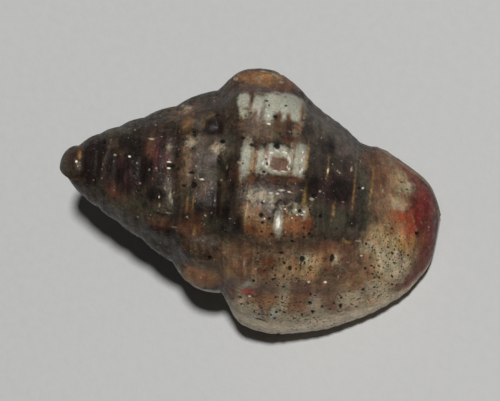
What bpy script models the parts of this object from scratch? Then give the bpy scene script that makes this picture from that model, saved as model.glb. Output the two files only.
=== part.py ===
# A worn whelk-like sea shell, one solid piece, lying on its mouth with its back up.
# The shell is lofted along its growth spiral, whorl after whorl. Each whorl starts on the
# seam that it shares with the whorl before, and the inside of the last one is open.
# Lengths are in millimetres and angles in degrees until the mesh is made.

import math

import bmesh
import bpy
import numpy as np

METRES_PER_MM = 0.001

# The growth spiral. Angles go round the shell's axis from the middle of its back.
GROWTH_PER_TURN = 1.28
TURNS = 7.2
LIP_ANGLE = 108.0
MOUTH_ANGLE = LIP_ANGLE - 360.0  # where the inner lip lies, one turn back
APEX_GAP = 1.95  # from the point where the spiral would start to the blunt tip

# Outline of the last whorl, from its upper seam to the end of the canal. Each point has
# its distance from the spiral's start, along the axis, and its distance from the axis.
# The first outline is a quarter turn before the back, and the second one after it.
BODY_ANGLE, SIDE_ANGLE = -90.0, 90.0
BODY_OUTLINE = (
    (11.39, 6.20), (11.75, 6.59), (12.23, 7.17), (12.85, 7.66), (13.56, 7.89), (14.25, 7.96),
    (14.58, 7.94), (15.14, 7.84), (16.14, 7.31), (17.72, 6.10), (19.69, 4.98), (21.46, 3.93),
    (22.44, 3.86), (23.95, 3.21), (25.70, 2.14), (26.85, 0.52),
)
SIDE_OUTLINE = (
    (13.41, 7.03), (13.69, 7.19), (14.08, 7.66), (14.73, 8.32), (15.45, 8.50), (16.23, 8.58),
    (16.61, 8.60), (17.26, 8.58), (18.37, 8.40), (20.18, 7.95), (22.20, 7.10), (24.08, 6.05),
    (25.05, 5.30), (25.90, 4.30), (26.61, 3.12), (26.74, 0.62),
)
SHOULDER, WAIST, SEAM, UNDER_SEAM, BASE, NECK, KNOB, SPOUT = 3, 5, 6, 7, 8, 10, 12, 14
SPREAD_START, SPREAD_END = -70.0, 92.0  # where the whorl widens towards the lip
CANAL_TIP = (24.95, 0.1, -0.15)  # from the apex, all edges of the canal's end meet here
SPIRE_SLIMMED = 0.18  # how much the spire is slimmer than a plain spiral's
SPIRE_LEAN = 0.16  # how far the apex stands off the axis, away from the lip
SPIRE_FLATTENED = 0.6  # share of the whorls' bulge that the spire goes without
FLAT_UNTIL, BULGING_FROM = -450.0, -300.0  # the turn in which the bulge comes back

# How the last half turn differs from a plain spiral. The flare is the share by which the lip
# spreads at each step of the outline, after the shell has drawn in a little before it.
FLARE = (
    0.0, 0.015, 0.035, 0.075, 0.105, 0.12, 0.13, 0.135,
    0.135, 0.125, 0.10, 0.07, 0.05, 0.03, 0.02, 0.0,
)
FLARE_START = 62.0
FLARE_DIP = 0.45  # how far it draws in first, as a share of the flare
LAST_DROP = 1.35  # how far the seam slides down near the lip, in steps of the outline
FLATTENED = 0.10  # share by which the last whorl is lower than it is wide
UNDERSIDE_FLATTENED = 0.16  # and by how much more on the side away from the lip, underneath
UNDERSIDE_ANGLE, UNDERSIDE_REACH = -215.0, 110.0
PILLAR_HOLLOW = 0.40  # share by which the pillar in the mouth is thinner than the neck
PILLAR_TWIST = 62.0
LIP_SWEEP = 16.0  # how far round the lip's edge stands back at the canal
CANAL_DROP = 0.7  # how much lower than the axis the canal ends

# Ribs along the axis
RIBS_PER_TURN = 12
RIB_CREST_ANGLE = -77.0
RIB_DEPTH = 0.42
SPIRE_RIBS_LOWER = 0.45  # share by which they are lower on the spire

# The wall and the hollow
WALL = 0.75
LIP_WALL = 1.05
LIP_ROUND_ANGLE = 6.0
TOOTH_HEIGHT, TOOTH_COUNT = 0.30, 8
HOLLOW_DEPTH = 1020.0  # how far round the hollow goes
# Where the hollow's outer wall meets the pillar, from the canal's tip inwards
FLOOR_DEPTHS = (0.0, 30.0, 60.0, 90.0, 120.0)
FLOOR_ALONG = (24.95, 24.35, 23.3, 21.9, 20.3)
FLOOR_RADIUS = (0.56, 0.95, 1.2, 1.4, 1.7)
FLOOR_ANGLE = (-10.0, 30.0, 38.0, 26.0, 4.0)
FLOOR_BEND = 0.78  # the share of the wall after which it bends to that line

# How finely it is divided
COLUMNS_PER_TURN = 48
SEAM_ROWS = 5
BASE_ROWS = 20
LIP_DEPTHS = (1.0, 2.6, 5.0, 9.0, 14.0, 20.0, 28.0, 38.0, 50.0)
HOLLOW_STEP = 25.0

# How it lies
APEX_UP = 17.4
ROLL = 8.2
WORN_FLAT = 0.2  # how much is worn off where it rests

SHELL_COLOUR = (0.23, 0.15, 0.10, 1.0)
SHELL_ROUGHNESS = 0.4


def smooth(x):
    x = np.clip(x, 0.0, 1.0)
    return x * x * (3.0 - 2.0 * x)


def outline_steps():
    # places the outline's points from 0 to 1, by their mean distance along both outlines
    both = (np.array(BODY_OUTLINE) + np.array(SIDE_OUTLINE)) / 2
    lengths = np.linalg.norm(np.diff(both, axis=0), axis=1)
    return np.concatenate([[0.0], np.cumsum(lengths)]) / lengths.sum()


STEPS = outline_steps()


def curve_through(values, at):
    # a smooth curve through one value for each step of the outline
    values = np.asarray(values, float)
    slopes = np.gradient(values, STEPS)
    i = np.clip(np.searchsorted(STEPS, at, side="right") - 1, 0, len(STEPS) - 2)
    gap = STEPS[i + 1] - STEPS[i]
    t = np.clip((at - STEPS[i]) / gap, 0.0, 1.0)
    return (
        (2 * t**3 - 3 * t**2 + 1) * values[i]
        + (t**3 - 2 * t**2 + t) * gap * slopes[i]
        + (3 * t**2 - 2 * t**3) * values[i + 1]
        + (t**3 - t**2) * gap * slopes[i + 1]
    )


def ramp(at, first, last):
    # 0 before one step of the outline, 1 after another
    return smooth((at - STEPS[first]) / (STEPS[last] - STEPS[first]))


def seam_step(angle):
    # where on the whorl before the seam of the whorl at this angle lies
    drop = LAST_DROP * smooth((angle + 60.0) / 200.0)
    return STEPS[SEAM] + (STEPS[UNDER_SEAM] - STEPS[SEAM]) * drop


def flatter_whorls(angle, at):
    # how far the whorls of the spire lie inside the outline of the last one
    first, last = BODY_OUTLINE[0], BODY_OUTLINE[SEAM]
    slope = (last[1] - first[1]) / (last[0] - first[0])
    bulge = [max(r - first[1] - slope * (along - first[0]), 0.0) for along, r in BODY_OUTLINE]
    bulge[SEAM:] = [0.0] * len(bulge[SEAM:])
    share = SPIRE_FLATTENED * (1.0 - smooth((angle - FLAT_UNTIL) / (BULGING_FROM - FLAT_UNTIL)))
    return share * np.maximum(curve_through(bulge, at), 0.0)


def rib_relief(angle, at):
    # how deep the surface lies below the crests of the ribs
    turn = (angle - RIB_CREST_ANGLE) / 360.0 * RIBS_PER_TURN
    valley = 0.5 - 0.5 * np.cos(2 * np.pi * turn)
    across = smooth(at / STEPS[SHOULDER]) * 0.7 + 0.3
    across = across * (1.0 - ramp(at, BASE - 1, NECK))
    age = 1.0 - SPIRE_RIBS_LOWER * smooth((BULGING_FROM - angle) / 180.0)
    age = age * (1.0 - smooth((LIP_ANGLE - 720.0 - angle) / 900.0))
    near_lip = 1.0 - smooth((angle - 35.0) / 50.0)
    covered = ramp(at, SEAM, BASE) * (1.0 - smooth((angle - MOUTH_ANGLE - 10.0) / 40.0))
    depth = RIB_DEPTH * GROWTH_PER_TURN ** (angle / 360.0)
    return depth * valley * across * age * near_lip * (1.0 - covered)


def open_surface(angle, at, flatter=1.0):
    # the outside at an angle and a place on the outline, before its seam is closed
    angle, at = np.broadcast_arrays(np.asarray(angle, float), np.asarray(at, float))
    grown_over = smooth((MOUTH_ANGLE - 10.0 - angle) / 130.0)
    scaled = 1.0 - ramp(at, BASE, KNOB) * (1.0 - grown_over)
    body_scale = GROWTH_PER_TURN ** ((angle - BODY_ANGLE) / 360.0 * scaled)
    side_scale = GROWTH_PER_TURN ** ((angle - SIDE_ANGLE) / 360.0 * scaled)
    spread = smooth((angle - SPREAD_START) / (SPREAD_END - SPREAD_START))
    body = [body_scale * curve_through([p[k] for p in BODY_OUTLINE], at) for k in (0, 1)]
    side = [side_scale * curve_through([p[k] for p in SIDE_OUTLINE], at) for k in (0, 1)]
    along = body[0] + (side[0] - body[0]) * spread - APEX_GAP
    radius = body[1] + (side[1] - body[1]) * spread
    radius = radius - body_scale * flatter_whorls(angle, at) * flatter
    slimmer = SPIRE_SLIMMED / (along + APEX_GAP) * (1.0 - smooth((along - 7.0) / 4.0))
    radius = radius * (1.0 - slimmer) - rib_relief(angle, at)
    flared = smooth((angle - FLARE_START) / (LIP_ANGLE - FLARE_START))
    flared = flared - FLARE_DIP * smooth(angle / FLARE_START)
    radius = radius * (1.0 + curve_through(FLARE, at) * flared)
    pillar = 1.0 - smooth((angle - MOUTH_ANGLE - 15.0) / 85.0)
    radius = radius * (1.0 - PILLAR_HOLLOW * ramp(at, UNDER_SEAM, NECK) * pillar)
    beyond = angle - MOUTH_ANGLE
    twist = 1.0 - smooth(np.where(beyond > 0.0, beyond / 132.0, -beyond / 150.0))
    turned = angle + PILLAR_TWIST * ramp(at, BASE, KNOB) * twist
    turned = np.radians(turned - LIP_SWEEP * ramp(at, BASE, SPOUT) * smooth(angle / LIP_ANGLE))
    under = smooth(1.0 - np.abs(angle - UNDERSIDE_ANGLE) / UNDERSIDE_REACH)
    lowered = FLATTENED + UNDERSIDE_FLATTENED * under
    height = 1.0 - lowered * smooth((along - 4.0) / 8.0)
    drop = CANAL_DROP * smooth((along - 14.0) / 10.0)
    up = radius * np.cos(turned) * height - drop
    lean = SPIRE_LEAN * (1.0 - smooth(along / 12.0))
    place = np.stack([along, lean - radius * np.sin(turned), up], axis=-1)
    to_tip = ramp(at, SPOUT, len(STEPS) - 1)[..., None] ** 2
    return place + (np.array(CANAL_TIP) - place) * to_tip


def surface(angle, at, flatter=1.0):
    # the outside, with each whorl brought onto the whorl before at its seam
    angle, at = np.broadcast_arrays(np.asarray(angle, float), np.asarray(at, float))
    gap = open_surface(angle - 360.0, seam_step(angle)) - open_surface(angle, 0.0 * at)
    reach = np.clip(1.0 - at / STEPS[SEAM], 0.0, 1.0) ** 2
    return open_surface(angle, at, flatter) + gap * reach[..., None]


def surface_normal(angle, at, flatter=1.0):
    step = 1e-3
    low, high = np.clip(at - step, 0.0, 1.0), np.clip(at + step, 0.0, 1.0)
    across = surface(angle, high, flatter) - surface(angle, low, flatter)
    around = surface(angle + 0.5, at, flatter) - surface(angle - 0.5, at, flatter)
    normal = np.cross(around, across)
    return normal / np.maximum(np.linalg.norm(normal, axis=-1, keepdims=True), 1e-9)


def columns():
    count = int(round(TURNS * COLUMNS_PER_TURN))
    return LIP_ANGLE - (count - np.arange(count + 1)) * 360.0 / COLUMNS_PER_TURN


def outside():
    # rows of points for each column: SEAM_ROWS + 1 on the spire, BASE_ROWS more on the last turn
    angles = columns()
    per_turn = COLUMNS_PER_TURN
    rows = []
    for j, angle in enumerate(angles):
        seam = seam_step(min(angle + 360.0, LIP_ANGLE))
        at = seam * np.linspace(0.0, 1.0, SEAM_ROWS + 1)
        if j >= len(angles) - 1 - per_turn:
            at = np.concatenate([at, np.linspace(seam, 1.0, BASE_ROWS + 1)[1:]])
        if j < per_turn:
            start = smooth(j / per_turn)
            edge = open_surface(angle, seam) * start
            x = np.linspace(0.0, 1.0, SEAM_ROWS + 1)[:, None]
            bend = np.concatenate([1.0 - np.cos(x * np.pi / 2), np.sin(x * np.pi / 2)], axis=1)
            rows.append(edge * bend[:, [0, 1, 1]])
            continue
        points = open_surface(angle, at)
        reach = np.clip(1.0 - at / seam, 0.0, 1.0) ** 2
        rows.append(points + (rows[j - per_turn][SEAM_ROWS] - points[0]) * reach[:, None])
    return angles, rows


def hollow_floor(depth, wall_end, before_end):
    # where the hollow's two walls meet: in the canal by hand, and deeper in between the two
    turned = math.radians(np.interp(depth, FLOOR_DEPTHS, FLOOR_ANGLE))
    radius = np.interp(depth, FLOOR_DEPTHS, FLOOR_RADIUS)
    canal = np.array([np.interp(depth, FLOOR_DEPTHS, FLOOR_ALONG),
                      -radius * math.sin(turned),
                      radius * math.cos(turned) - CANAL_DROP])
    between = (wall_end + before_end) / 2
    return canal + (between - canal) * smooth((depth - 50.0) / 90.0)


def tooth_relief(depth, at):
    # low ridges inside the lip that run into the mouth
    across = (at - STEPS[WAIST]) / (STEPS[SPOUT - 1] - STEPS[WAIST])
    comb = (0.5 - 0.5 * np.cos(2 * np.pi * TOOTH_COUNT * across)) * (across > 0) * (across < 1)
    along = smooth((depth - 2.0) / 4.0) * (1.0 - smooth((depth - 10.0) / 12.0))
    return TOOTH_HEIGHT * comb * along


def wall_inside(depth, at):
    # the outer wall's inner face, which follows neither the ribs nor the spire's flat sides
    angle = LIP_ANGLE - depth
    edge = np.sqrt(1.0 - (1.0 - min(depth / LIP_ROUND_ANGLE, 1.0)) ** 2)
    thick = WALL + (LIP_WALL - WALL) * (1.0 - smooth((depth - 12.0) / 30.0))
    thick = thick * GROWTH_PER_TURN ** (-depth / 360.0) * (1.0 - 0.45 * ramp(at, KNOB, SPOUT))
    level = 0.8 * RIB_DEPTH * smooth(depth / 60.0) * GROWTH_PER_TURN ** (angle / 360.0)
    fill = level * (1.0 - ramp(at, BASE, NECK)) - rib_relief(angle, at) * smooth(depth / 60.0)
    thick = (thick + fill) * edge + tooth_relief(depth, at)
    return surface(angle, at, 0.0) - surface_normal(angle, at, 0.0) * thick[:, None]


def hollow_corner(depth):
    # where the outer wall's inner face leaves the whorl before: its place on each of the two
    angle = LIP_ANGLE - depth
    seam = seam_step(angle)
    on_wall = np.linspace(0.0, STEPS[WAIST + 1], 120)
    on_before = np.linspace(seam, STEPS[NECK], 120)
    wall = wall_inside(depth, on_wall)
    before = surface(angle - 360.0, on_before)
    before_radius = np.interp(wall[:, 0], before[:, 0], np.hypot(before[:, 1], before[:, 2]))
    clear = np.hypot(wall[:, 1], wall[:, 2]) - before_radius
    inside = np.flatnonzero((clear < 0.0) | (wall[:, 0] < before[0, 0]))
    first = on_wall[inside[-1]] if len(inside) else 0.0
    along = wall_inside(depth, np.array([first]))[0, 0]
    return first, max(np.interp(along, before[:, 0], on_before), seam)


def hollow_ring(depth):
    # one cross-section of the hollow: down its outer wall, then back up the whorl before
    angle = LIP_ANGLE - depth
    on_wall, on_before = hollow_corner(depth)
    lip_seam = seam_step(LIP_ANGLE)
    deepest = 1.0 + (STEPS[NECK] - 1.0) * smooth(depth / 130.0)
    rows = np.concatenate([lip_seam * np.linspace(0.0, 1.0, SEAM_ROWS + 1),
                           np.linspace(lip_seam, 1.0, BASE_ROWS + 1)[1:]])
    outer_at = on_wall + rows * (deepest - on_wall)
    inner_at = np.linspace(deepest, on_before, BASE_ROWS + 1)
    outer = wall_inside(depth, outer_at)
    inner = surface(angle - 360.0, inner_at)
    floor = hollow_floor(depth, outer[-1], inner[0])
    near_end = smooth((rows - FLOOR_BEND) / (1.0 - FLOOR_BEND)) * smooth(depth / 45.0)
    outer += (floor - outer) * near_end[:, None]
    near_end = smooth(1.0 - np.linspace(0.0, 1.0, BASE_ROWS + 1) / 0.25) * smooth(depth / 45.0)
    inner += (floor - inner) * near_end[:, None]
    outer[-1] = floor
    outer[0] = inner[-1]
    return np.concatenate([outer, inner[1:-1]])


def lay_down(points):
    # turns the shell from its own axes to the way it lies, apex towards -X, with what is worn
    # off where it rests below z = 0
    tilt, roll = math.radians(APEX_UP), math.radians(ROLL)
    rolled = np.array([[1, 0, 0],
                       [0, math.cos(roll), -math.sin(roll)],
                       [0, math.sin(roll), math.cos(roll)]])
    tilted = np.array([[math.cos(tilt), 0, math.sin(tilt)],
                       [0, 1, 0],
                       [-math.sin(tilt), 0, math.cos(tilt)]])
    points = points @ (tilted @ rolled).T
    low, high = points.min(axis=0), points.max(axis=0)
    return points - [(low[0] + high[0]) / 2, (low[1] + high[1]) / 2, low[2] + WORN_FLAT]


class Loft:
    # collects points and faces, and makes points in the same place one
    def __init__(self):
        self.points = []
        self.faces = []

    def add(self, points):
        first = len(self.points)
        self.points.extend(points)
        return list(range(first, len(self.points)))

    def strip(self, left, right):
        # quads between two columns, as triangles where two corners are one point
        for i in range(len(left) - 1):
            corners = [left[i], right[i], right[i + 1], left[i + 1]]
            corners = [c for k, c in enumerate(corners) if c != corners[k - 1]]
            if len(corners) > 2:
                self.faces.append(corners)


def make_loft():
    loft = Loft()
    angles, rows = outside()
    apex = loft.add([rows[0][0]])[0]
    grid = []
    for j, points in enumerate(rows):
        if j == 0:
            grid.append([apex] * (SEAM_ROWS + 1))
            continue
        top = apex if j < COLUMNS_PER_TURN else grid[j - COLUMNS_PER_TURN][SEAM_ROWS]
        if len(points) > SEAM_ROWS + 1:
            if j == len(rows) - 1 - COLUMNS_PER_TURN:
                tip = loft.add([points[-1]])[0]
            grid.append([top] + loft.add(points[1:-1]) + [tip])
        else:
            grid.append([top] + loft.add(points[1:]))
    for left, right in zip(grid, grid[1:]):
        shared = min(len(left), len(right))
        loft.strip(left[:shared], right[:shared])
    lip, inner_lip = grid[-1], grid[-1 - COLUMNS_PER_TURN]
    ring = lip + inner_lip[SEAM_ROWS + 1:-1][::-1]
    steady = np.arange(LIP_DEPTHS[-1] + HOLLOW_STEP, HOLLOW_DEPTH, HOLLOW_STEP)
    for depth in (*LIP_DEPTHS, *steady):
        deeper = loft.add(hollow_ring(depth))
        loft.strip(ring + ring[:1], deeper + deeper[:1])
        ring = deeper
    last = np.array([loft.points[i] for i in ring])
    middle = last.mean(axis=0)
    small = loft.add(middle + (last - middle) * 0.5)
    loft.strip(ring + ring[:1], small + small[:1])
    end = loft.add([middle])[0]
    for i, corner in enumerate(small):
        loft.faces.append([corner, end, small[(i + 1) % len(small)]])
    return loft


def new_collection(name):
    collection = bpy.data.collections.new(name)
    bpy.context.scene.collection.children.link(collection)
    return collection


def shell_material():
    material = bpy.data.materials.new("shell")
    material.use_nodes = True
    finish = material.node_tree.nodes["Principled BSDF"]
    finish.inputs["Base Color"].default_value = SHELL_COLOUR
    finish.inputs["Roughness"].default_value = SHELL_ROUGHNESS
    finish.inputs["Metallic"].default_value = 0.0
    return material


def cut_flat(work):
    # takes off what is below z = 0, which leaves the small worn flats that the shell rests on
    everything = work.verts[:] + work.edges[:] + work.faces[:]
    cut = bmesh.ops.bisect_plane(work, geom=everything, plane_co=(0, 0, 0), plane_no=(0, 0, -1),
                                 clear_outer=True)
    rims = [item for item in cut["geom_cut"] if isinstance(item, bmesh.types.BMEdge)]
    bmesh.ops.holes_fill(work, edges=rims)


def make_shell(collection):
    loft = make_loft()
    points = lay_down(np.array(loft.points)) * METRES_PER_MM
    mesh = bpy.data.meshes.new("shell")
    mesh.from_pydata(points.tolist(), [], loft.faces)
    work = bmesh.new()
    work.from_mesh(mesh)
    cut_flat(work)
    bmesh.ops.triangulate(work, faces=work.faces)
    work.to_mesh(mesh)
    work.free()
    mesh.shade_smooth()
    mesh.materials.append(shell_material())
    shell = bpy.data.objects.new("shell", mesh)
    collection.objects.link(shell)


def main():
    for thing in list(bpy.data.objects):
        bpy.data.objects.remove(thing, do_unlink=True)
    make_shell(new_collection("sea_shell"))


main()
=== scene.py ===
import math

import bpy
import numpy as np
from mathutils import Matrix, Vector, noise


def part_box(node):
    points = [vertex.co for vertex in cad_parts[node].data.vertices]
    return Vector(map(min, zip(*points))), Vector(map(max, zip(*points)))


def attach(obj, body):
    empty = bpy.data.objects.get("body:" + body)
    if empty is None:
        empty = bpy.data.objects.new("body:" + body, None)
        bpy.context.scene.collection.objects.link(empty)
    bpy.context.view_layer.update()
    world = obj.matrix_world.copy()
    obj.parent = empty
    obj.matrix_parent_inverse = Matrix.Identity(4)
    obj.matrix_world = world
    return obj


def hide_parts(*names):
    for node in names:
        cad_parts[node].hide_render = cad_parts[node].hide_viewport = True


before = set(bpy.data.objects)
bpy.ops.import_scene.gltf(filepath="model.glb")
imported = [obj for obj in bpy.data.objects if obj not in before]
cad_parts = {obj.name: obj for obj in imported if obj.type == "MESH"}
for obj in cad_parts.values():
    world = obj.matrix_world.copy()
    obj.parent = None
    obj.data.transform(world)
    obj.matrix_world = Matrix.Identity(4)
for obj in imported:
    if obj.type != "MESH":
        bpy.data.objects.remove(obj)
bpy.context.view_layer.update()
print("frame loaded")

mmPerMetre = 1000.0

# The shell. Lengths are in millimetres and angles in degrees, in the shell's own axes: x runs
# from the apex along its axis, z points out of its back, and the lip lies towards -y.
shell = {
    "growthPerTurn": 1.28,
    "turns": 7.2,
    "lipAngle": 108.0,
    "apexGap": 1.95,
    "bodyAngle": -90.0,
    "sideAngle": 90.0,
    "bodyOutline": (
        (11.39, 6.20), (11.75, 6.59), (12.23, 7.17), (12.85, 7.66), (13.56, 7.89), (14.25, 7.96),
        (14.58, 7.94), (15.14, 7.84), (16.14, 7.31), (17.72, 6.10), (19.69, 4.98), (21.46, 3.93),
        (22.44, 3.86), (23.95, 3.21), (25.70, 2.14), (26.85, 0.52)),
    "sideOutline": (
        (13.41, 7.03), (13.69, 7.19), (14.08, 7.66), (14.73, 8.32), (15.45, 8.50), (16.23, 8.58),
        (16.61, 8.60), (17.26, 8.58), (18.37, 8.40), (20.18, 7.95), (22.20, 7.10), (24.08, 6.05),
        (25.05, 5.30), (25.90, 4.30), (26.61, 3.12), (26.74, 0.62)),
    "spread": (-70.0, 92.0),
    "canalTip": (24.95, 0.1, -0.15),
    "spireSlimmed": 0.18,
    "spireLean": 0.16,
    "spireFlattened": 0.6,
    "flatUntil": -450.0,
    "bulgingFrom": -300.0,
    "flare": (0.0, 0.015, 0.035, 0.075, 0.105, 0.12, 0.13, 0.135,
              0.135, 0.125, 0.10, 0.07, 0.05, 0.03, 0.02, 0.0),
    "flareStart": 62.0,
    "flareDip": 0.45,
    "lastDrop": 1.35,
    "flattened": 0.10,
    "undersideFlattened": 0.16,
    "undersideAngle": -215.0,
    "undersideReach": 110.0,
    "pillarHollow": 0.40,
    "pillarTwist": 62.0,
    "lipSweep": 16.0,
    "canalDrop": 0.7,
    "ribsPerTurn": 12,
    "ribCrestAngle": -77.0,
    "ribDepth": 0.42,
    "spireRibsLower": 0.45,
    "wall": 0.75,
    "lipWall": 1.05,
    "lipRoundAngle": 6.0,
    "toothHeight": 0.30,
    "toothCount": 8,
    "hollowDepth": 1020.0,
    "floorDepths": (0.0, 30.0, 60.0, 90.0, 120.0),
    "floorAlong": (24.95, 24.35, 23.3, 21.9, 20.3),
    "floorRadius": (0.56, 0.95, 1.2, 1.4, 1.7),
    "floorAngle": (-10.0, 30.0, 38.0, 26.0, 4.0),
    "floorBend": 0.78,
    "apexUp": 17.4,
    "roll": 8.2,
    "wornFlat": 0.2,
    # how finely it is divided
    "columnsPerTurn": 300,
    "seamRows": 22,
    "baseRows": 90,
    "lipDepths": (0.25, 0.6, 1.0, 1.6, 2.4, 3.4, 4.6, 6.0, 7.5, 9.0, 11.0, 13.0, 15.5, 18.0, 21.0, 24.5,
                  28.5, 33.0, 38.0, 44.0, 50.0),
    "hollowStep": 20.0,
}
shoulder, waist, seam, underSeam, base, neck, knob, spout = 3, 5, 6, 7, 8, 10, 12, 14
mouthAngle = shell["lipAngle"] - 360.0

# Relief that is finer than the CAD solid's, in the same units
relief = {
    "cordSpacing": 0.78,
    "wear": (2.3, 0.55, 0.45),  # how large the worn places are, and how high the cords are, give or take
    "cordHeight": 0.035,
    "baseCordHeight": 0.05,
    "growthLineHeight": 0.014,
    "growthLineDegrees": 1.1,
    "growthLineBreaks": 9.0,
    "seamGroove": 0.07,
    "lumps": ((1.9, 0.05), (0.7, 0.022), (0.3, 0.009)),  # size and height
    "varix": (90.0, 8.0, 0.12),  # angle, half width and height of the swelling behind the lip
    "pitDepth": 0.16,
    "pitEdge": 0.08,
    "seamWidth": 0.16,
    # bosses: along, side, half length, half width, height and how hollow the top is
    "bosses": ((14.00, 1.65, 0.62, 0.62, 0.13, 1.0), (14.55, -2.42, 0.30, 0.70, 0.20, 0.0),
               (9.42, 3.98, 0.60, 0.60, 0.14, 0.6), (10.05, 2.40, 0.35, 0.55, 0.08, 0.0),
               (12.70, 1.62, 0.35, 1.0, 0.06, 0.0)),
}

# The colours, as screen numbers from 0 to 255, with how ragged and how soft the edge of a mark is, in
# millimetres, and how strongly it covers
paint = {
    "ground": ((44, 38, 32), (58, 47, 38), (61, 58, 49), (25, 20, 19)),
    "base": ((54, 48, 42), 0.2, 0.4, 0.85),
    "band": ((52, 45, 38), 0.2, 0.35, 0.85),
    "tan": ((119, 97, 77), 0.35, 0.4, 0.92),
    "buff": ((170, 150, 114), 0.3, 0.4, 0.8),
    "olive": ((62, 60, 49), 0.25, 0.35, 0.7),
    "brown": ((72, 54, 39), 0.25, 0.35, 0.75),
    # grey: partly a painted sheen, the lamp's broad reflection on rib crests, and partly the shell's own grey
    "grey": ((90, 82, 76), 0.3, 0.3, 0.65),
    "purple": ((50, 33, 36), 0.25, 0.3, 0.7),
    "amber": ((126, 94, 64), 0.3, 0.35, 0.7),
    "orange": ((134, 88, 60), 0.25, 0.3, 0.65),
    "red": ((150, 62, 38), 0.3, 0.3, 0.7),
    "maroon": ((98, 33, 32), 0.12, 0.22, 0.92),
    "russet": ((90, 57, 44), 0.35, 0.35, 0.65),
    "chalk": ((158, 150, 130), 0.3, 0.25, 0.75),
    "cream": ((161, 162, 147), 0.09, 0.14, 0.93),
    "gold": ((146, 116, 66), 0.1, 0.1, 0.7),
    "rust": ((94, 54, 37), 0.12, 0.1, 0.85),
    "pink": ((118, 50, 56), 0.05, 0.08, 0.8),
    "rose": ((156, 66, 58), 0.08, 0.1, 0.8),
    "dark": ((24, 19, 18), 0.15, 0.2, 0.88),
    "seamline": ((36, 28, 25), 0.1, 0.1, 0.6),
    # pale: partly painted glints, small highlights of the lamp, and partly the shell's own pale specks
    "pale": ((152, 143, 124), 0.04, 0.05, 0.75),
    # white: mostly painted glints, highlights of the lamp on ribs and rims, with a few of the shell's own
    # white specks
    "white": ((225, 221, 208), 0.02, 0.04, 1.0),
    "pit": ((18, 13, 11), 0.03, 0.04, 0.95),
}

# Other shades: the lip's pale edge, partly its own paler colour and partly painted light for light thrown up
# from the floor, the rim, a pale edge with a painted highlight along it, what the colours are multiplied by
# in warm and cool places, pale flecks, which are partly painted glints, and fine dots
shades = {
    # lip edge: partly the lip's paler colour and partly painted light where the lamp barely reaches the lip's
    # side
    "lip edge": (172, 152, 124),
    # rim: a pale line along the lip's outline, partly its pale edge and partly a painted highlight
    "rim": (204, 190, 166),
    "warm": (1.13, 0.93, 0.85, 1.0),
    "cool": (0.93, 1.02, 0.93, 1.0),
    # fleck: pale flecks, partly pale nicks and partly painted glints of the lamp
    "fleck": (176, 170, 154),
    "dot": (46, 40, 26),
}

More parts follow.
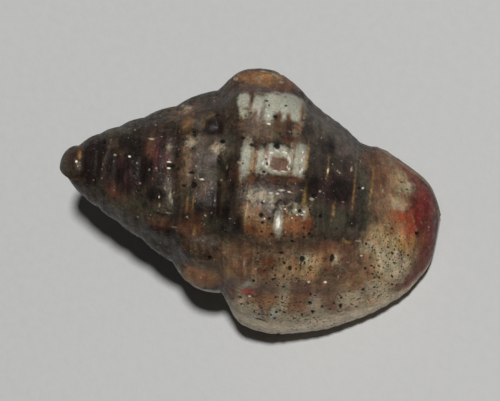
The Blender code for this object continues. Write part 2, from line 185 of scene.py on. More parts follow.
# What is painted on the back. Each mark is an oval: along from the apex, side, half length, half width
# and sometimes a turn in degrees. The first kinds in paint are covered by the later ones.
marks = {
    "tan": (
        (14.85, -6.16, 2.77, 2.14), (18.45, -5.71, 2.91, 1.77, 20), (15.68, -4.48, 2.87, 1.12, 10),
        (13, -4.2, 0.87, 0.87), (11.8, -4.62, 0.87, 1.25), (21.12, 1.17, 1.14, 2.54),
        (21.78, -2.9, 2.03, 2.16), (20.02, -6.07, 1.79, 0.89, 30), (18.64, -7.47, 3.86, 0.52, 18),
        (20.45, 3.02, 1.03, 0.64, 25), (10.19, -5.74, 1.4, 0.76, 20), (8.34, 1.02, 0.25, 1),
        (14.77, 2.17, 0.31, 0.86), (12.67, 3.9, 1.12, 0.62), (14.84, 4.22, 0.25, 0.56),
        (21.75, 0.29, 1.14, 1.4), (13.02, -1.55, 0.74, 0.74), (17.29, -3.26, 3.75, 0.62),
        (16.25, -4.92, 3.75, 0.75), (13.86, -4.97, 1.5, 0.75), (12.9, 7.13, 1.65, 0.32),
        (14.79, -5.76, 1.63, 0.63), (14.8, -7.11, 1.65, 0.57),
    ),
    "base": (
        (17.84, 2.31, 2.39, 2.89), (18.55, -0.45, 1.87, 2.12), (16.17, 4.44, 1.26, 1.64),
        (17.65, 4.44, 1.4, 0.89, 35), (16.73, -2.95, 1.49, 0.56),
    ),
    "band": (
        (10.73, 4.82, 0.56, 1.13), (11.03, 2.62, 0.62, 1.36), (11.53, -0.13, 0.56, 2.1),
        (12.16, -2.54, 0.8, 0.86),
    ),
    "buff": (
        (21.98, 2.19, 0.77, 0.51, 30), (22.24, 1.45, 0.48, 0.45), (21.93, 0.44, 0.57, 0.38),
        (21.99, -2.11, 1.01, 0.89), (22.25, -3.3, 0.89, 1.14), (21.61, -4.95, 0.77, 0.58),
        (20.46, -2.87, 0.5, 0.63), (21.53, -5.91, 1.16, 0.45, 33), (17.13, -3.92, 0.44, 0.5),
        (15.4, -6.36, 0.32, 1.01), (19.8, -5.96, 0.57, 0.51), (20.72, -1.95, 0.5, 0.44),
        (21.48, -2.62, 1.52, 1.65), (18.13, -4.63, 2.51, 0.88), (21.44, -1.47, 0.76, 0.63, 20),
        (21.99, -3.33, 1.14, 1.27), (15.42, -4.39, 0.56, 0.31), (17.27, -4.03, 0.5, 0.31),
        (23.11, -2.36, 0.38, 0.83, -10),
    ),
    "olive": (
        (8.96, 4.99, 1.27, 0.57, 10), (10.68, 2.39, 0.43, 0.74), (8.54, -0.9, 0.37, 1),
        (9.99, -2.34, 1.25, 0.75), (10.07, 0.81, 0.5, 0.5), (18.27, -1.24, 1, 0.87),
        (17.06, -0.77, 0.56, 1.62, 12), (19.7, 0.34, 0.57, 2.14, 16), (3.4, 2.64, 0.84, 0.32, 30),
        (3.71, -0.9, 0.64, 0.89), (5.29, -2.03, 1.39, 0.63, -35), (0.5, 0.04, 0.39, 1.09),
        (7.15, -1.66, 0.5, 0.5), (13.46, 3.63, 0.21, 0.74), (16.77, -2.82, 0.75, 0.37),
        (6.81, 1.79, 0.31, 0.44), (13.06, 0.94, 0.74, 0.18), (6.38, -2.33, 1.01, 0.44, -30),
        (6.22, -3.52, 1.28, 0.32, -32), (13.78, -4.41, 1, 0.31), (16, -4.06, 0.62, 0.31),
        (5.1, 2.23, 1.65, 0.51), (4.89, -1.96, 1.65, 0.63), (8.13, 3.75, 1.39, 0.5),
        (10.37, -0.91, 0.75, 0.75), (12.04, 1.18, 0.18, 0.86), (13.55, 3.39, 0.25, 0.43),
        (3.08, -0.08, 0.76, 1.4),
    ),
    "brown": (
        (12.33, 0.35, 0.56, 0.31), (13.91, 4.53, 0.62, 0.5), (15.52, -2.91, 0.87, 0.43),
        (11.05, -4.75, 0.75, 0.75), (9.55, -3.93, 0.88, 0.5), (14.27, -4.28, 0.87, 0.5),
        (11.64, 4.16, 0.37, 0.31), (8.96, -2.23, 0.69, 0.87), (20.04, 3.23, 0.77, 0.58, 30),
        (12.3, -3.66, 0.62, 0.62), (9.57, -0.14, 1, 0.31), (9.67, -0.38, 0.87, 0.5),
        (3.78, 1.42, 0.32, 0.64), (14, 1.81, 0.62, 0.52), (9.47, -3.24, 0.63, 1),
        (10.8, -4.79, 0.76, 0.63), (9.96, -1.09, 0.87, 0.75), (15.02, -2.91, 1.49, 0.37),
    ),
    # The grey marks are partly a painted sheen, the lamp's broad reflection where rib crests face the camera.
    "grey": (
        (12.42, 3.94, 0.87, 0.74), (9.27, 2.09, 0.81, 1), (9.95, 2.62, 0.75, 0.44),
        (7.4, -1.05, 0.38, 0.88), (7.03, 2.01, 0.38, 0.57), (3.13, 0.95, 0.29, 0.76),
        (10.01, -3.55, 0.75, 0.31), (12.34, 6.48, 1.26, 0.32), (16.98, 4.32, 1.39, 0.63, -35),
        (18.14, 3.32, 0.63, 0.44), (4.42, -2.87, 0.9, 0.26, -38), (8.74, 3.95, 0.63, 0.5),
        (19.09, -3.74, 0.38, 0.5), (9.15, 1.13, 0.56, 0.56), (12.95, -0.07, 0.49, 0.55),
        (14.29, 0.11, 0.99, 0.37), (13.31, -0.89, 0.43, 0.31),
    ),
    "purple": (
        (15.31, 0.5, 0.16, 0.62), (18.13, -4.63, 0.82, 0.75), (17.64, 0.69, 1.5, 1),
        (18.75, 1.22, 0.31, 1.26, 16), (6.39, 1.61, 0.31, 1.51), (5.52, 2.48, 0.25, 0.89),
        (2.31, 0.59, 0.64, 1.28), (0.82, 0.67, 0.32, 0.51), (12.51, -0.94, 0.12, 0.49),
        (9.68, 3.62, 0.5, 0.44), (5.28, 0.2, 0.63, 0.88), (24.45, -3.07, 0.32, 1.16, -22),
        (24.85, -0.02, 0.17, 0.71), (14.43, 3.97, 0.31, 0.37), (6.49, 1.75, 0.88, 1.26),
        (4.15, -0.14, 1.27, 1.27), (8.8, 4.76, 1.14, 0.51, 20), (13.87, 6.6, 1.65, 0.32),
    ),
    "amber": (
        (12.26, 7.11, 1.65, 0.51), (10.2, -5.81, 1.02, 0.51), (14.53, -6.54, 0.57, 0.57),
        (16.34, -6.64, 0.76, 0.76), (17.06, -4.76, 0.5, 0.63), (17.77, -3.52, 0.88, 0.56),
        (21.95, -0.32, 0.57, 0.63), (12.64, -1.48, 0.43, 0.74), (13.63, -2.34, 0.86, 0.43),
        (15.29, -1.75, 0.86, 0.62), (20.13, -4.85, 0.76, 0.63), (15.93, -4.45, 0.62, 0.44),
        (11.76, -5.28, 0.44, 0.5), (22.99, -2.05, 0.51, 0.76), (9.45, -5.39, 0.44, 0.44),
        (21.36, -0.85, 0.38, 0.76), (1.26, 0.79, 0.21, 0.51), (7.9, 3.53, 0.32, 0.5),
        (7.75, 4.39, 0.64, 0.25, 25), (12.92, -1.69, 0.49, 0.74), (15.18, -1.89, 0.86, 0.49),
        (14.22, -6.65, 0.57, 0.63), (16.33, -6.58, 0.51, 0.57),
    ),
    "orange": (
        (12.26, 7.18, 0.57, 0.32), (15.97, -1.66, 0.49, 0.43), (23.76, -1.7, 0.51, 0.77),
        (17.74, -3.33, 0.37, 0.31), (9.49, -2.92, 0.19, 0.25), (9.59, -5.5, 0.25, 0.25),
        (15.33, -2.05, 0.93, 0.31), (13.54, -2.6, 0.62, 0.19), (21.97, -0.45, 0.51, 0.57),
        (23.39, -1.49, 0.45, 0.83, 20), (22.4, -0.71, 1.08, 0.7, 30),
    ),
    "red": (
        (16.17, -1.7, 0.25, 0.19), (22.33, -0.15, 0.51, 0.51, 20), (22.93, -0.65, 0.38, 0.89, 28),
        (22.55, -1.33, 0.19, 0.57, 30), (23, -1.15, 0.38, 0.76, -20),
    ),
    "maroon": (
        (22.32, 2.71, 0.78, 0.32, -42), (23.11, 2.03, 0.84, 0.52, -50), (23.87, 0.89, 0.55, 1.41, 14),
        (24.24, -0.61, 0.38, 0.77, 4), (24.24, -2.04, 0.38, 1.03, -11), (23.36, -4.43, 0.45, 0.45, -40),
        (23.52, -0.96, 0.1, 0.77, 25), (24.15, -3.09, 0.32, 1.03, -25), (23.69, 0.54, 0.71, 2.05, -8),
        (23.29, 1.07, 0.45, 1.28, -20), (24.33, -0.73, 0.39, 0.9),
    ),
    "russet": (
        (13.85, -6.23, 0.38, 0.5), (12.7, -5.26, 0.31, 0.56, 30), (17.79, -5.66, 0.51, 0.51),
        (18.94, -3.18, 0.38, 0.75, -20), (19.41, -4.48, 0.88, 0.69), (20.32, -3.66, 0.51, 0.82),
        (17.86, -2.81, 0.87, 0.31, 10), (16.48, -6.29, 0.38, 0.51), (13.65, 6.84, 0.76, 0.51, 35),
        (11.23, 6.2, 0.57, 0.25), (10.49, -6.1, 0.77, 0.26), (4.03, -1.37, 0.51, 0.32, -35),
        (9.01, -2.61, 0.63, 0.63), (7.11, -3, 0.88, 0.44), (11.47, 0.73, 0.37, 0.56),
        (13.19, 0.96, 1.11, 0.22), (23.57, -1.34, 0.32, 1.15, -20), (21.02, 2.32, 0.77, 0.38, 20),
        (12.09, -6.44, 0.44, 0.38, 35), (18.51, -6.79, 0.38, 0.38), (5.85, 1.67, 0.25, 0.63),
        (20.46, 0.05, 0.19, 0.88, -12), (22.84, -3.62, 0.77, 0.26, -60), (21.01, -5.29, 0.51, 0.32),
        (13.86, -4.97, 0.5, 0.37), (12.91, -4.46, 0.31, 0.56, 25), (10.68, -6.08, 0.57, 0.25),
        (13.95, 0.81, 0.55, 0.25), (12.29, 0.65, 0.37, 0.25), (18.78, -2.95, 0.38, 0.69),
        (4.19, -1.61, 0.45, 0.19, -35), (20.67, 1.75, 0.64, 1.02, 10), (19.93, 2.95, 0.58, 0.51, 30),
        (23.03, -4.53, 0.77, 0.39, 35), (22.73, 1.26, 0.58, 1.28, -22), (18.01, -3.81, 0.5, 0.88),
        (17.73, -5.33, 1.64, 0.38), (16.34, -5.5, 0.63, 0.5), (18.96, -3.69, 0.5, 0.75),
        (23.95, -3.18, 0.51, 1.41, -25), (16.44, -6.5, 0.32, 0.44),
    ),
    "chalk": (
        (13.12, -5.99, 0.57, 0.28, 38), (12.7, -7.2, 0.32, 0.51, -40), (13.49, -7.85, 0.7, 0.45, -30),
        (14.57, -8.19, 1.16, 0.29, -6), (15.43, -6.62, 0.25, 1.08), (15.68, -7.82, 0.77, 0.38),
        (17.46, -6.78, 0.38, 0.7), (18.07, -7.26, 0.64, 0.38), (19.31, -6.15, 0.38, 0.51),
        (19.99, -6.9, 0.9, 0.26, 16), (22.34, -2.64, 0.38, 0.38), (22.47, -3.8, 0.32, 0.51),
        (21.6, -5.22, 0.38, 0.45), (22.37, 1.53, 0.38, 0.32), (21.95, 0.25, 0.44, 0.25),
        (16.47, -3.81, 0.37, 0.25), (18.29, -3.58, 0.25, 0.31), (10.13, 2.26, 0.31, 0.25, 20),
        (8.38, 2.49, 0.25, 0.31, -45), (7.76, 4.67, 0.38, 0.19, 15), (9.48, -6.49, 0.39, 0.16, -45),
        (10.73, -6.88, 0.91, 0.16, -12), (12.06, -7.28, 0.45, 0.19, -38), (8.55, -5.66, 0.45, 0.13, -55),
        (7.03, 2.01, 0.16, 0.31), (7.55, -1.29, 0.16, 0.38), (12.8, -0.83, 0.18, 0.25),
        (20.35, -2.57, 0.44, 0.31), (11.47, 4.9, 0.31, 0.44), (15.16, 5.32, 0.19, 0.76),
        (15.54, -0.78, 0.43, 0.25), (14.88, -0.99, 0.12, 0.37), (16.71, -7.7, 0.9, 0.26),
        (12.64, -6.47, 0.19, 0.44, -20), (14.73, 3.81, 0.19, 0.19), (12.82, 1.84, 0.62, 0.68),
        (15.09, 2.15, 0.49, 0.74), (13.23, -0.28, 0.86, 0.31), (22.45, -3.67, 0.64, 0.89),
        (21.59, -3.38, 0.51, 0.63), (13.16, -7.76, 1.02, 0.64), (14.71, -8.23, 1.41, 0.39),
        (21.43, -5.38, 1.02, 0.58, -20), (20.09, -6.06, 0.64, 0.64), (13.79, -0.83, 0.74, 0.21),
        (22.07, -3.84, 0.57, 0.76), (21.39, -2.95, 0.51, 0.51), (13.12, 7.51, 0.32, 0.19),
        (12.01, 7.08, 0.25, 0.19), (17.39, -6.72, 0.25, 0.51),
    ),
    "cream": (
        (13.83, 5.68, 1.22, 0.69), (12.24, 5.32, 0.34, 0.75), (14.67, 5.1, 0.38, 0.44),
        (12.99, 4.84, 0.31, 0.5), (13.94, 4.85, 0.19, 0.37), (11.93, 1.85, 0.3, 1.14),
        (12.84, 1.91, 0.22, 0.86), (13.76, 2.72, 0.62, 0.28), (14.66, 2.22, 0.15, 0.93),
        (15.27, 2.24, 0.4, 0.99), (13.1, 1.57, 0.18, 0.37), (14.44, -1.8, 0.25, 0.71),
        (16.03, -1.03, 0.19, 0.46), (15.44, -0.98, 0.31, 0.15), (11.33, 5.53, 0.4, 0.44),
        (11.35, 4.89, 0.25, 0.25), (13.01, -5.95, 0.5, 0.19, 38), (13.09, 1.19, 0.37, 0.18),
        (13.89, 1.93, 0.84, 0.78), (13.65, -8.11, 0.39, 0.19, 20), (15.01, -7.63, 0.26, 0.38),
    ),
    "gold": (
        (12.3, 1.83, 0.11, 0.99), (15.67, 2.43, 0.15, 1.12), (15.85, 0.07, 0.15, 0.87),
        (12.37, -1.45, 0.1, 0.74), (16.16, -0.95, 0.12, 0.43), (14.97, 5.28, 0.1, 0.75),
        (12.43, 7.34, 0.51, 0.17), (17.09, 2, 0.11, 0.87), (17.74, -0.62, 0.1, 0.75),
        (18.92, 0.86, 0.08, 1.51), (20.06, 1.28, 0.1, 1.27), (9.23, 4.1, 0.38, 0.09, 34),
        (9.08, 3.73, 0.1, 0.31), (23.09, -1.78, 0.22, 0.51), (11.71, -5.42, 0.28, 0.31),
        (9.31, -3.01, 0.13, 0.25), (8.66, -1.33, 0.1, 0.75), (9.04, -1.28, 0.07, 0.62),
        (14.24, 1.91, 0.12, 0.31), (18.89, -2.43, 0.31, 0.13), (13.21, 1.95, 0.07, 0.49),
        (14.01, 1.27, 0.49, 0.06), (14.69, 1.91, 0.06, 0.37), (23.07, -0.63, 0.08, 0.57, 25),
        (1.33, 0.8, 0.08, 0.39), (22.48, -2.24, 0.32, 0.51, 30), (12.44, -1.63, 0.1, 0.8),
        (12.62, -1.79, 0.06, 0.55), (16.07, -0.96, 0.09, 0.74), (12.54, 1.86, 0.07, 0.68),
    ),
    "rust": (
        (11.77, 5.52, 0.11, 0.56), (12.54, 4.91, 0.12, 0.4), (13.63, 4.93, 0.14, 0.31),
        (14.24, 4.87, 0.1, 0.34), (12.13, 4.73, 0.17, 0.37), (11.57, 4.98, 0.31, 0.11),
        (12.24, 6.04, 0.25, 0.11), (13.39, 6.21, 0.25, 0.1), (13.91, 6.11, 0.19, 0.09),
        (15.1, 5.44, 0.13, 0.57), (12.5, 1.73, 0.1, 0.8), (14.86, 2.31, 0.08, 0.93),
        (15.05, 1.02, 0.49, 0.19), (16.26, -1.69, 0.31, 0.31), (12.77, -2.44, 0.37, 0.25),
        (14.21, -2.51, 0.25, 0.18), (14.7, -1.08, 0.14, 0.25), (15.33, 1.75, 0.09, 0.25),
        (15.77, -0.63, 0.12, 0.19), (13.71, 0.78, 0.25, 0.18), (18.54, 1.32, 0.06, 1.38, 8),
        (14.15, -4.3, 0.5, 0.19), (16.9, -5.77, 0.19, 0.63), (14, 1.85, 0.6, 0.53),
        (14.49, 3.46, 0.56, 0.21),
    ),
    "pink": (
        (12.61, 2, 0.07, 0.55), (13.19, 2.45, 0.1, 0.49), (6.97, 1.17, 0.08, 0.57),
        (6.35, 1.41, 0.08, 0.88), (10.39, -5.78, 0.1, 0.25), (13.28, 2.09, 0.07, 0.55),
    ),
    "dark": (
        (14.43, 3.48, 0.62, 0.14), (13.59, 2.88, 0.21, 0.17), (14.86, 1.06, 0.28, 0.14),
        (11.5, 1.9, 0.21, 0.12, -25), (13.8, -1.63, 0.18, 0.14), (14.92, -2.23, 0.34, 0.09),
        (15.49, -0.91, 0.14, 0.12), (7.91, 3.04, 0.31, 0.14, 15), (8.48, 2.95, 0.28, 0.18),
        (8.95, 3.38, 0.28, 0.11, -20), (9.68, 3.62, 0.56, 0.5), (7.55, 1.88, 0.1, 2.26),
        (10.48, -1.27, 0.37, 0.99), (8.73, -2.2, 0.28, 0.31), (7.8, -3.42, 0.51, 0.38),
        (10.82, -3.97, 0.31, 0.19), (13.45, -6.57, 0.41, 0.11), (18.08, 0.75, 0.75, 0.75),
        (16.29, 0.76, 0.43, 0.62), (2.18, 0.58, 0.58, 1.41), (2.64, 1.41, 0.45, 0.77),
        (4.84, 1.42, 0.57, 1.27), (5.59, 0.36, 0.63, 0.88), (4.15, 1.99, 0.45, 0.51),
        (3.49, 0.74, 0.38, 0.89), (4.14, -0.08, 0.32, 0.51), (6.66, -1.03, 0.6, 0.47),
        (6.62, -3.33, 0.57, 0.32), (4.98, -3.05, 0.51, 0.15, -38), (7.21, 0.89, 0.23, 0.09),
        (1.54, 0.76, 0.08, 0.51), (17.07, 3.41, 0.38, 0.5), (19.04, -1.14, 0.31, 0.38),
        (11.15, -1.55, 0.25, 1.24), (11.29, 0.21, 0.25, 0.87), (11.94, -2.32, 0.25, 0.74, -20),
        (10.93, 1.04, 0.19, 0.62), (10.26, -4.53, 0.19, 0.15), (6.93, 0.02, 0.21, 0.38),
        (23.46, -1.48, 0.15, 0.13), (15.83, 1.32, 0.19, 0.37), (14.22, 2.09, 0.12, 0.12),
        (13.67, 1.95, 0.1, 0.12), (10.26, -1.05, 0.56, 0.81), (9.49, -1.4, 0.37, 0.5),
        (13.4, -1.56, 0.2, 0.21), (2.33, 0.47, 0.64, 1.53), (14.02, -3.36, 0.87, 0.16, -8),
        (14.56, -3.67, 0.56, 0.09, -8), (14.8, -8.01, 0.13, 0.06), (14.34, -8.37, 0.15, 0.06, 10),
        (17.4, -7.14, 0.06, 0.13), (17.73, -7.58, 0.06, 0.1),
    ),
    "seamline": (
        (7.4, 3.16, 0.09, 1.39), (7.92, 0.34, 0.09, 1.56), (8.18, -2.15, 0.09, 1.38),
    ),
    # The pale marks are partly painted glints, small highlights of the lamp, and partly pale specks and
    # patches of the shell.
    "pale": (
        (10.62, 6.92, 0.19, 0.14), (12.33, 7.63, 0.38, 0.09), (13.49, 7.1, 0.19, 0.1),
        (12.29, 2.58, 0.14, 0.09, -20), (11.57, 1.59, 0.2, 0.12), (8.51, 2.51, 0.13, 0.19),
        (7.96, 4.69, 0.17, 0.1), (7.47, 4.78, 0.15, 0.09, 15), (8.77, -2.19, 0.1, 0.07),
        (8.04, -2.94, 0.19, 0.06), (11.01, -5.63, 0.09, 0.06), (11.35, -4.1, 0.1, 0.08),
        (10.14, -5.18, 0.19, 0.08), (12.68, -4.62, 0.07, 0.25), (7.51, -0.97, 0.08, 0.31),
        (7.69, -1.39, 0.08, 0.25), (7.48, -2.09, 0.21, 0.08), (7.15, -0.64, 0.19, 0.06, -50),
        (6.93, -1.72, 0.08, 0.16), (10.84, 1.22, 0.06, 0.16), (10.58, 0.37, 0.07, 0.07),
        (8.91, 1.03, 0.07, 0.07), (8.95, 0.28, 0.07, 0.07), (15.44, 2.39, 0.09, 0.62),
        (12.39, -1.45, 0.06, 0.62), (17.86, 1.83, 0.09, 0.06, -20), (18.62, 2.16, 0.07, 0.16),
        (20.79, 1.06, 0.08, 0.14), (21.95, 1.22, 0.08, 0.08), (18.3, 0.02, 0.1, 0.07),
        (16.77, 0.48, 0.08, 0.08), (16.33, -0.05, 0.16, 0.12), (19.65, -2.27, 0.25, 0.09),
        (20.11, -2.5, 0.08, 0.07), (19.15, -3.68, 0.13, 0.07), (16.06, -5.31, 0.14, 0.09),
        (24.56, 0.46, 0.06, 1.29, 4), (2.95, 0.41, 0.06, 0.06), (2.45, -0.68, 0.06, 0.06),
        (3.64, 1.08, 0.13, 0.08), (5.51, -0.5, 0.08, 0.08), (5.14, 0.75, 0.06, 0.06),
        (6.43, 0.59, 0.08, 0.08), (6.83, 0.72, 0.06, 0.05), (6, 0.44, 0.06, 0.08),
        (5.95, 3.31, 0.08, 0.06), (4.66, 2.84, 0.08, 0.08), (5.62, -2.63, 0.08, 0.06),
        (5.8, 2.38, 0.25, 0.08), (13.73, -0.12, 0.1, 0.16, 30), (12.8, -0.61, 0.11, 0.08),
        (15.01, 0.17, 0.14, 0.05), (15.67, 0.4, 0.17, 0.05), (14.84, -0.87, 0.06, 0.18),
        (14.65, -0.71, 0.12, 0.06), (13.19, -5.6, 0.19, 0.09), (13.03, -7.78, 0.1, 0.09),
        (13.81, 2.3, 0.43, 0.16),
    ),
    # The white marks are mostly painted glints: highlights of the lamp on rib crests, on the ring's rim and
    # on knobs. A few are the shell's own white specks.
    "white": (
        (13.38, 1.79, 0.06, 0.18), (14.52, 2.26, 0.06, 0.21), (13.81, 1.37, 0.18, 0.06),
        (13.48, 2.44, 0.12, 0.06), (14.21, 2.59, 0.12, 0.06), (7.17, 1.07, 0.18, 0.06),
        (7.22, 0.68, 0.13, 0.06), (9.39, 0.26, 0.16, 0.07), (1.17, 0.36, 0.09, 0.1),
        (4.61, 1.1, 0.1, 0.08), (12.98, 4.75, 0.07, 0.11), (13.07, 4.22, 0.12, 0.08),
        (15.39, 2.75, 0.07, 0.08), (15.47, 2.46, 0.06, 0.07), (15.38, 1.52, 0.07, 0.08),
        (14.34, 0.21, 0.19, 0.06), (14.15, 0, 0.12, 0.07), (15.52, -1.14, 0.09, 0.06),
        (15.85, -1.1, 0.1, 0.07), (15.93, -0.9, 0.09, 0.07), (13.55, -1.65, 0.06, 0.06),
        (17.1, 1.81, 0.06, 0.19), (19.48, 1.06, 0.08, 0.08), (17.89, -5.1, 0.13, 0.09),
        (16.85, -5.23, 0.09, 0.08), (19.94, -3.17, 0.11, 0.06), (13.29, -6.66, 0.1, 0.06),
        (6.84, -1.19, 0.05, 0.1), (13.32, 1.78, 0.05, 0.25), (14.61, 2.27, 0.05, 0.25),
        (14.52, 1.7, 0.05, 0.12), (13.15, 2.13, 0.05, 0.12), (13.23, 1.58, 0.06, 0.18),
        (14.66, 2.03, 0.06, 0.19), (14.31, 1.4, 0.18, 0.05), (13.77, 2.61, 0.18, 0.05),
        (14.42, -1.74, 0.13, 0.46), (13.39, -0.57, 0.06, 0.09), (13.75, -0.02, 0.15, 0.05),
        (14.4, 0.25, 0.21, 0.06), (14.85, 0.19, 0.12, 0.06), (15.42, -0.86, 0.07, 0.07),
        (15.7, -1.01, 0.06, 0.12), (14.74, -0.89, 0.06, 0.06), (15.24, -1.38, 0.06, 0.06),
        (15.39, 2.26, 0.06, 0.19), (15.47, 1.64, 0.06, 0.12), (13.02, 1.74, 0.07, 0.14),
        (14.66, 1.59, 0.07, 0.1), (14.34, 2.55, 0.1, 0.06), (13.43, 2.42, 0.07, 0.07),
    ),
    "dotted": (
        (21.99, -3.33, 1.91, 2.16), (21.4, -5.24, 1.53, 1.02, 30), (15.3, -7.04, 2.54, 1.14),
        (18.83, -6.75, 1.41, 0.77, 18), (13.49, -6.88, 1.01, 1.14), (14.26, -5.17, 1.5, 0.87),
        (21.65, -1.06, 0.76, 0.76), (16.2, -4.54, 3.75, 1.5), (21.37, -2.31, 1.9, 0.89),
        (19.65, -5.84, 1.91, 0.89), (14.16, -7.12, 1.52, 1.27), (14.16, -7.12, 1.27, 1.02),
        (16.71, -7.7, 3.85, 0.9, -4), (22.51, -3.27, 1.27, 1.91, -20),
    ),
    "rose": (
        (13.16, -6.31, 0.43, 0.25), (13.15, -6.26, 0.32, 0.16),
    ),
}

# A mark with a half size under shaderLimit is drawn by the shader, and a larger one by the mesh. Pits are
# drawn by the shader, and one with a half size over pitLimit is a hole in the mesh as well.
shaderLimit = 0.25
pitLimit = 0.12

# Small dark pits on the back: along, side, half length and half width
pits = (
    (12.73, 5.67, 0.12, 0.06), (13.98, 5.52, 0.08, 0.06), (12.92, 5.41, 0.06, 0.05),
    (13.41, 4.75, 0.16, 0.12), (12.16, 2.78, 0.14, 0.1), (11.55, 3.15, 0.12, 0.09),
    (13.74, 2.92, 0.21, 0.19), (13.27, 1.73, 0.07, 0.12), (13.17, 2.01, 0.07, 0.06),
    (13.13, 1.21, 0.12, 0.09), (13.28, -0.69, 0.07, 0.06), (14.42, -0.37, 0.08, 0.06),
    (12.6, -1.67, 0.07, 0.07), (13.32, -1.45, 0.15, 0.17), (13.47, -1.9, 0.11, 0.09),
    (13.86, -1.59, 0.1, 0.08), (15.68, -0.88, 0.12, 0.14), (16.07, -1.9, 0.08, 0.06),
    (16.45, -2.21, 0.11, 0.09), (16.15, -2.46, 0.09, 0.06), (15.51, -1.49, 0.06, 0.05),
    (16.29, -0.73, 0.07, 0.06), (15.49, -2.83, 0.14, 0.07), (13.48, -2.46, 0.07, 0.06),
    (14.12, -2.52, 0.09, 0.07), (14.93, -3.63, 0.16, 0.1), (16.24, -3.84, 0.16, 0.2),
    (15.56, -4.51, 0.12, 0.17), (15.16, -4.21, 0.1, 0.09), (16.17, -4.23, 0.06, 0.05),
    (18.1, -3.56, 0.14, 0.28), (14.47, -4.65, 0.08, 0.07), (14.69, -5.07, 0.07, 0.06),
    (15.24, -5.04, 0.08, 0.07), (14.6, -5.33, 0.08, 0.06), (14.97, -5.75, 0.08, 0.06),
    (15.35, -5.77, 0.09, 0.06), (14.2, -5.58, 0.06, 0.06), (13.41, -5.58, 0.11, 0.09),
    (14.03, -4.83, 0.06, 0.06), (10.52, -4.57, 0.16, 0.13), (10.34, 2.77, 0.16, 0.14),
    (8.68, 0.59, 0.18, 0.09), (8.29, -0.27, 0.15, 0.08), (8.92, -0.14, 0.19, 0.19),
    (8.47, 3.15, 0.11, 0.08), (7.26, 0.85, 0.22, 0.08), (2.82, 1.81, 0.1, 0.12), (16.43, 0.15, 0.15, 0.14),
    (17.03, -1.03, 0.12, 0.12), (18.11, -1.67, 0.07, 0.05), (19.24, 1.04, 0.07, 0.06),
    (19.88, -2.28, 0.06, 0.05), (20.13, -2.39, 0.08, 0.08), (20.56, -2.56, 0.06, 0.06),
    (21.62, -2.44, 0.08, 0.06), (21.53, -2.06, 0.06, 0.05), (21.46, -1.63, 0.06, 0.05),
    (21.89, -2.75, 0.08, 0.06), (22.52, -2.82, 0.06, 0.06), (22.97, -2.78, 0.08, 0.08),
    (22.18, -3.34, 0.08, 0.06), (22.66, -3.54, 0.07, 0.06), (20.69, -3.71, 0.08, 0.06),
    (20.87, -3.8, 0.07, 0.06), (21.19, -3.7, 0.08, 0.06), (20.3, -3.93, 0.08, 0.08),
    (20.83, -4.23, 0.07, 0.06), (21.18, -4.09, 0.06, 0.06), (21.46, -4.16, 0.06, 0.06),
    (21.01, -4.45, 0.08, 0.06), (21.3, -4.41, 0.08, 0.07), (22.12, -4.21, 0.08, 0.08),
    (22.25, -4.77, 0.09, 0.07), (22.56, -4.78, 0.06, 0.06), (20.39, -5.29, 0.08, 0.09),
    (21.1, -5.07, 0.08, 0.06), (19.1, -5.99, 0.09, 0.08), (18.7, -6.42, 0.08, 0.06),
    (19.16, -6.55, 0.1, 0.17), (19.84, -6.33, 0.1, 0.05), (20.21, -6.5, 0.08, 0.06),
    (17.98, -6.74, 0.08, 0.08), (18.52, -6.84, 0.09, 0.05), (16.79, -7.41, 0.08, 0.07),
    (17.07, -7.75, 0.06, 0.06), (15.14, -7.5, 0.1, 0.09), (15.65, -7.44, 0.1, 0.06),
    (15.35, -7.32, 0.08, 0.06), (15.08, -7.93, 0.09, 0.06), (14.83, -7.72, 0.07, 0.06),
    (14.15, -7.29, 0.08, 0.06), (13.73, -7.57, 0.06, 0.09), (14.04, -7.76, 0.06, 0.06),
    (13.28, -7.1, 0.06, 0.08), (12.73, -6.79, 0.1, 0.08), (12.87, -7.22, 0.06, 0.06),
    (14.95, -6.54, 0.06, 0.08), (15.43, -6.79, 0.1, 0.06), (15.36, -6.4, 0.06, 0.05),
    (16.29, -7.75, 0.06, 0.08), (17.47, -7.19, 0.1, 0.13), (17.19, -6.68, 0.13, 0.1),
    (17.4, -6.06, 0.08, 0.05), (17.1, -6.03, 0.08, 0.1), (16.61, -7.92, 0.06, 0.06),
    (23.4, -1.32, 0.12, 0.12), (21.71, -1.23, 0.13, 0.05), (22.01, 1.81, 0.12, 0.04),
    (22.38, 1.38, 0.08, 0.06), (14.1, -8.17, 0.22, 0.06), (14.45, -8.21, 0.17, 0.05),
    (11.78, 1.56, 0.06, 0.05), (13.45, -3.82, 0.06, 0.06),
)


def smooth(x):
    # a soft step from 0 to 1
    x = np.clip(x, 0.0, 1.0)
    return x * x * (3.0 - 2.0 * x)


def window(x, start, rise, end, fall):
    # soft steps up from start and down again before end
    return smooth((x - start) / rise) * smooth((end - x) / fall)


def outlineSteps():
    # where each point of the outline is along it, from 0 to 1, and how long the outline is
    both = (np.array(shell["bodyOutline"]) + np.array(shell["sideOutline"])) / 2
    lengths = np.linalg.norm(np.diff(both, axis=0), axis=1)
    return np.concatenate([[0.0], np.cumsum(lengths)]) / lengths.sum(), lengths.sum()


steps, outlineLength = outlineSteps()


def curveThrough(values, at):
    # a smooth curve through one value for each point of the outline
    values = np.asarray(values, float)
    slopes = np.gradient(values, steps)
    i = np.clip(np.searchsorted(steps, at, side="right") - 1, 0, len(steps) - 2)
    gap = steps[i + 1] - steps[i]
    t = np.clip((at - steps[i]) / gap, 0.0, 1.0)
    return ((2 * t**3 - 3 * t**2 + 1) * values[i] + (t**3 - 2 * t**2 + t) * gap * slopes[i]
            + (3 * t**2 - 2 * t**3) * values[i + 1] + (t**3 - t**2) * gap * slopes[i + 1])


def ramp(at, first, last):
    # a soft step between two points of the outline
    return smooth((at - steps[first]) / (steps[last] - steps[first]))


